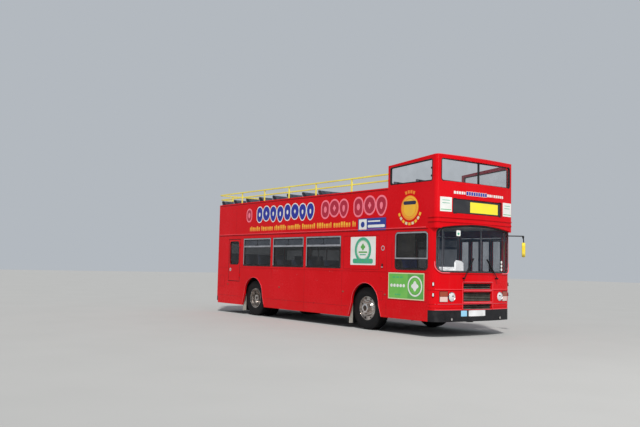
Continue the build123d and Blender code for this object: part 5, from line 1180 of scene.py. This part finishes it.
def pad_mesh(width, length, thick, channels):
    """A crowned cushion whose sides pull in between its corners, with sewn channels across it."""
    shape = Shape()
    nu, nv = 20, 12
    pull, round_by, seam = 0.007, 0.045, 0.008
    rows = []
    for b in spaced(0, 1, nv):
        row = []
        for a in spaced(0, 1, nu):
            x = a * width + pull * math.sin(math.pi * b) * (1 - 2 * a)
            y = b * length + pull * math.sin(math.pi * a) * (1 - 2 * b)
            near = min(min(a, 1 - a) * width, min(b, 1 - b) * length) / round_by
            edge = math.sqrt(max(0.0, 1 - (1 - min(near, 1.0)) ** 2))
            halves = abs(math.sin(2 * math.pi * a)) ** 0.35
            top = 0.42 + 0.4 * edge + 0.16 * edge * halves * math.sin(math.pi * b)
            top -= sum(0.09 * edge * math.exp(-(((b - c) * length / seam) ** 2)) for c in channels)
            row.append(shape.bm.verts.new((x, y, thick * top)))
        rows.append(row)
    for low, high in zip(rows, rows[1:]):
        for i in range(nu):
            shape.bm.faces.new((low[i], low[i + 1], high[i + 1], high[i]))
    rim = rows[0][:-1] + [r[-1] for r in rows[:-1]] + rows[-1][:0:-1] + [r[0] for r in rows[:0:-1]]
    base = []
    for v in rim:
        x = v.co.x + (0.006 if v.co.x < width / 2 else -0.006)
        y = v.co.y + (0.006 if v.co.y < length / 2 else -0.006)
        base.append(shape.bm.verts.new((x, y, 0.0)))
    for k in range(len(rim)):
        shape.bm.faces.new((rim[k], rim[k - 1], base[k - 1], base[k]))
    shape.bm.faces.new(base)
    return shape.mesh("pad")


def seat_rows():
    """(X, low Y, high Y, base Z, leg height, deck) of every seat, as in the frame."""
    rows = []
    for side, first in ((NEARSIDE, 1.26), (OFFSIDE, 1.72)):
        double = sorted((side * 0.3, side * 1.18))
        x = FRONT_AXLE_X - first
        while x > REAR_AXLE_X + 0.685:
            rows.append((x, *double, 0.64, LEG, "lower"))
            x -= ROW_PITCH
        for x in (REAR_AXLE_X + 0.06, REAR_AXLE_X - 0.595):
            rows.append((x, *sorted((side * 0.58, side * 1.18)), 0.7853, 0.0, "lower"))
    rows.append((-4.58, -1.13, 1.13, 0.82, 0.245, "lower"))
    x = HALF_L - 0.8
    while x > -4.68:
        for side in SIDES:
            if side == NEARSIDE or not 0.85 < x < 3.16:
                rows.append((x, *sorted((side * 0.3, side * 1.18)), 2.45, LEG, "upper"))
        x -= ROW_PITCH
    rows.append((3.4, -1.035, -0.565, 0.72, 0.0, "cab"))
    return rows


def seat_legs(shape, start, y, base, leg):
    """Two legs, the tube under the seat that joins them, and their foot plate."""
    under, foot = base + SEAT_SHELL_Z, base + SEAT_SHELL_Z - leg
    for x in (start + 0.1075, start + 0.3225):
        shape.tube([(x, y, under - 0.001), (x, y, foot + 0.001)], 0.0125)
    shape.tube([(start + 0.02, y, under - 0.009), (start + 0.41, y, under - 0.009)], 0.0085)
    shape.box((start + 0.08, y - 0.02, foot + 0.0005), (start + 0.35, y + 0.02, foot + 0.006))


def build_seats():
    """Padded squabs and backs on shells and frames, in the places of the frame's plain seats."""
    pads = {deck: Shape() for deck in ("lower", "upper", "cab")}
    frames, shells, rails = Shape(), Shape(), Shape()
    cache = {}
    up = Vector((-math.sin(BACK_RAKE), 0, math.cos(BACK_RAKE)))
    out = Vector((math.cos(BACK_RAKE), 0, math.sin(BACK_RAKE)))
    across_bus = Vector((0, -1, 0))
    lying = Matrix((across_bus, Vector(AHEAD), Vector(UP))).transposed().to_4x4()
    raked = Matrix((across_bus, up, out)).transposed().to_4x4()
    back_line = ((0.0905, 0.347), (0.097, 0.347), (0.097, 0.44),
                 (0.0075, 0.962), (0.001, 0.962), (0.0905, 0.44))
    grip_line = ((0.02, 0.03, 0.81), (0.012, 0.03, 0.95), (0.012, 0.05, 0.965),
                 (0.012, 0.14, 0.965), (0.012, 0.16, 0.95), (0.02, 0.16, 0.81))
    for x, y0, y1, base, leg, deck in seat_rows():
        width = y1 - y0
        key = round(width, 3)
        if key not in cache:
            squab = pad_mesh(width - 0.012, 0.42, 0.088, (0.3, 0.62))
            cache[key] = squab, pad_mesh(width - 0.012, 0.56, 0.05, (0.35, 0.6, 0.82))
        squab, back = cache[key]
        start = x + 0.1503
        pads[deck].add(squab, Matrix.Translation((start + 0.006, y1 - 0.006, base + SQUAB_Z)) @ lying)
        pads[deck].add(back, Matrix.Translation((x + 0.098, y1 - 0.006, base + 0.42)) @ raked)
        shells.box((start, y0, base + 0.3452), (start + 0.43, y1, base + SQUAB_Z), 0, 0.002)
        line = [(x + a, base + b) for a, b in back_line]
        shells.skin([[Vector((a, y, b)) for a, b in line] for y in (y0 + 0.002, y1 - 0.002)])
        if deck == "lower" and width < 1:
            aisle, way = (y1, -1) if y1 < 0 else (y0, 1)
            rails.tube([(x + a, aisle + way * b, base + c) for a, b, c in grip_line], 0.009)
        if leg:
            for y in (y0 + 0.21, y1 - 0.21):
                seat_legs(frames, start, y, base, leg)
    pedestal = ((0.11, 0.0), (0.1, 0.05), (0.08, 0.06), (0.08, 0.41), (0.11, 0.42))
    frames.lathe(pedestal, (3.765, DRIVER_Y, FLOOR_Z), UP)
    frames.piece("seat_frames", "cab_plastic", IRON, replaces=["seats"])
    shells.piece("seat_shells", "cab_plastic", SHELL)
    rails.piece("seat_grab_handles", "rail_yellow", SHELL)
    for deck, mat in (("lower", CLOTH), ("upper", VINYL), ("cab", CAB_CLOTH)):
        obj = pads[deck].piece(f"{deck}_seat_pads", "seat_cloth", mat, smooth=50, clean=False)


def build_interior():
    """Grab poles, the stairs' nosings and the cab's dials, as far as they show through the glass."""
    poles = Shape()
    for x, y in ((3.2, 0.56), (4.36, 0.56), (1.3, 0.29), (1.3, -0.29), (-1.5, 0.29), (-1.5, -0.29),
                 (0.1, 0.29), (-0.38, -0.27)):
        poles.tube([(x, y, FLOOR_Z), (x, y, 2.385)], 0.016, sides=10)
    for y in (-0.29, 0.29):
        poles.tube([(1.3, y, 2.3), (-3.3, y, 2.3)], 0.014)
    poles.piece("saloon_grab_poles", "bare_aluminium", ALUMINIUM)
    rims = Shape()
    for k in range(STAIR_STEPS):
        x = STAIR_FOOT[0] + k * STAIR_RUN / STAIR_STEPS
        z = STAIR_FOOT[1] + (k + 1) * STAIR_RISE
        rims.box((x - 0.002, -1.19, z - 0.02), (x + 0.03, -0.605, z + 0.003), 0, 0.002)
    rims.piece("stair_nosings", "rail_yellow", AMBER)
    dials = Shape()
    for y in (DRIVER_Y - 0.08, DRIVER_Y + 0.08):
        at = (4.3398, y, 1.22)
        dials.lathe(((0.055, 0.0), (0.055, 0.012), (0.05, 0.014)), at, ASTERN, segments=32)
        dials.lathe(((0.049, 0.013), (0.0, 0.0135)), at, ASTERN, 1, segments=32)
    for k in range(8):
        y = -1.12 + 0.03 * k
        dials.box((4.328, y, 1.13), (4.3396, y + 0.018, 1.15), 1 if k % 3 else 2, 0.002)
    dials.piece("cab_dials", "cab_plastic", DASH, WHITE, LENS_RED)
    cab = Shape()
    for x, y in ((4.585, -1.052), (4.64, -0.995)):
        cab.tube([(x, y, DASH_Z), (x, y, 2.32)], 0.011, 0, 10)
    cab.tube([(4.585, -1.06, 2.13), (4.64, -0.84, 2.13)], 0.014, 1, 10)
    cab.box((3.2156, -0.84, 1.925), (3.2186, -0.7, 2.105), 2)
    cab.piece("cab_posts_and_notice", "bare_aluminium", ALUMINIUM, BLACK, NOTICE)


def build_rear_trim():
    """Louvres and catches on the engine cover."""
    body = "engine_cover"
    shape = Shape()
    for row in (0.72, 0.62):
        for k in range(14):
            u = -0.62 + k * 0.0954
            shape.plate(pad(u, row, 0.038, 0.032, 0.008, 2), on_rear, (0.0003, 0.003))
            for z in (row - 0.02, row + 0.004):
                shape.patch((u - 0.03, u + 0.03), (z, z + 0.008), on_rear, (0.003, 0.0045), 1)
    shape.piece("engine_cover_louvres", "body_red", RED, SEAM_AND_SHADOW, body=body)
    shape = Shape()
    catch = ((0.028, 0.0), (0.028, 0.004), (0.022, 0.008), (0.0, 0.008))
    for u in (-0.5, 0.5):
        shape.lathe(catch, on_rear(u, 0.53, 0.0), ASTERN, segments=24)
    shape.piece("engine_cover_catches", "bare_aluminium", CHROME, body=body)


# Camera, light and floor

PHOTO_WIDTH = 640
FOCAL_PIXELS = 736.92
CAMERA_AT = (15.6785, -12.5573, 1.469)
YAW, PITCH, ROLL = (math.radians(a) for a in (-53.157, 4.054, 1.277))


def build_camera():
    data = bpy.data.cameras.new("photo_camera")
    data.sensor_width = 36
    data.lens = FOCAL_PIXELS / PHOTO_WIDTH * data.sensor_width
    data.clip_start, data.clip_end = 0.1, 400
    camera = bpy.data.objects.new("photo_camera", data)
    level = math.cos(PITCH)
    ahead = Vector((math.sin(YAW) * level, math.cos(YAW) * level, math.sin(PITCH)))
    right = Vector((math.cos(YAW), -math.sin(YAW), 0))
    up = right.cross(ahead)
    rolled = (right * math.cos(ROLL) + up * math.sin(ROLL), up * math.cos(ROLL) - right * math.sin(ROLL))
    turn = Matrix((*rolled, -ahead)).transposed().to_4x4()
    camera.matrix_world = Matrix.Translation(CAMERA_AT) @ turn
    bpy.context.scene.collection.objects.link(camera)
    bpy.context.scene.camera = camera


def lamp(name, kind, energy, color, place, target, **shape):
    data = bpy.data.lights.new(name, kind)
    data.energy = energy
    data.color = color
    for key, value in shape.items():
        setattr(data, key, value)
    obj = bpy.data.objects.new(name, data)
    obj.location = place
    obj.rotation_mode = "QUATERNION"
    obj.rotation_quaternion = (Vector(target) - Vector(place)).to_track_quat("-Z", "Y")
    bpy.context.scene.collection.objects.link(obj)


def build_stage():
    """A cloudy sky, a soft sun, a fill lamp and a pale floor."""
    world = bpy.data.worlds.new("studio")
    world.use_nodes = True
    sky = world.node_tree.nodes["Background"].inputs
    sky[0].default_value = (0.82, 0.88, 0.95, 1)
    sky[1].default_value = 0.55
    bpy.context.scene.world = world
    lamp("sun", "SUN", 3.2, (1.0, 0.97, 0.92), (13, -9, 20), (0, 0, 0), angle=math.radians(5))
    lamp("front_fill", "AREA", 300, (1.0, 0.98, 0.95), (15, -4, 7), (3, 0, 1.8), shape="DISK", size=7)
    floor = Shader("studio_floor", (0.4, 0.4, 0.395), 0.85, Specular_IOR_Level=0.1)
    floor.set(Base_Color=floor.mix(floor.noise(0.6, 4), (0.385, 0.385, 0.38), (0.42, 0.42, 0.415)))
    mesh = bpy.data.meshes.new("floor")
    mesh.from_pydata([(-90, -90, 0), (90, -90, 0), (90, 90, 0), (-90, 90, 0)], [], [(0, 1, 2, 3)])
    mesh.materials.append(floor.bump((floor.noise(60, 3), 0.05, 0.001)))
    obj = bpy.data.objects.new("studio_floor", mesh)
    bpy.context.scene.collection.objects.link(obj)
    bpy.context.scene.view_settings.view_transform = "Standard"


build_camera()
build_stage()
dress_nodes()
build_wheels()
build_lamps()
build_long_motifs()
build_sun_disc()
build_blue_panel()
build_white_panel()
build_green_panel()
build_front_signs()
build_rubbers()
build_emergency_door_trim()
build_door_trim()
build_side_trim()
build_side_fittings()
build_front_trim()
build_cab_papers()
build_mirror_and_wipers()
build_seats()
build_interior()
build_rear_trim()
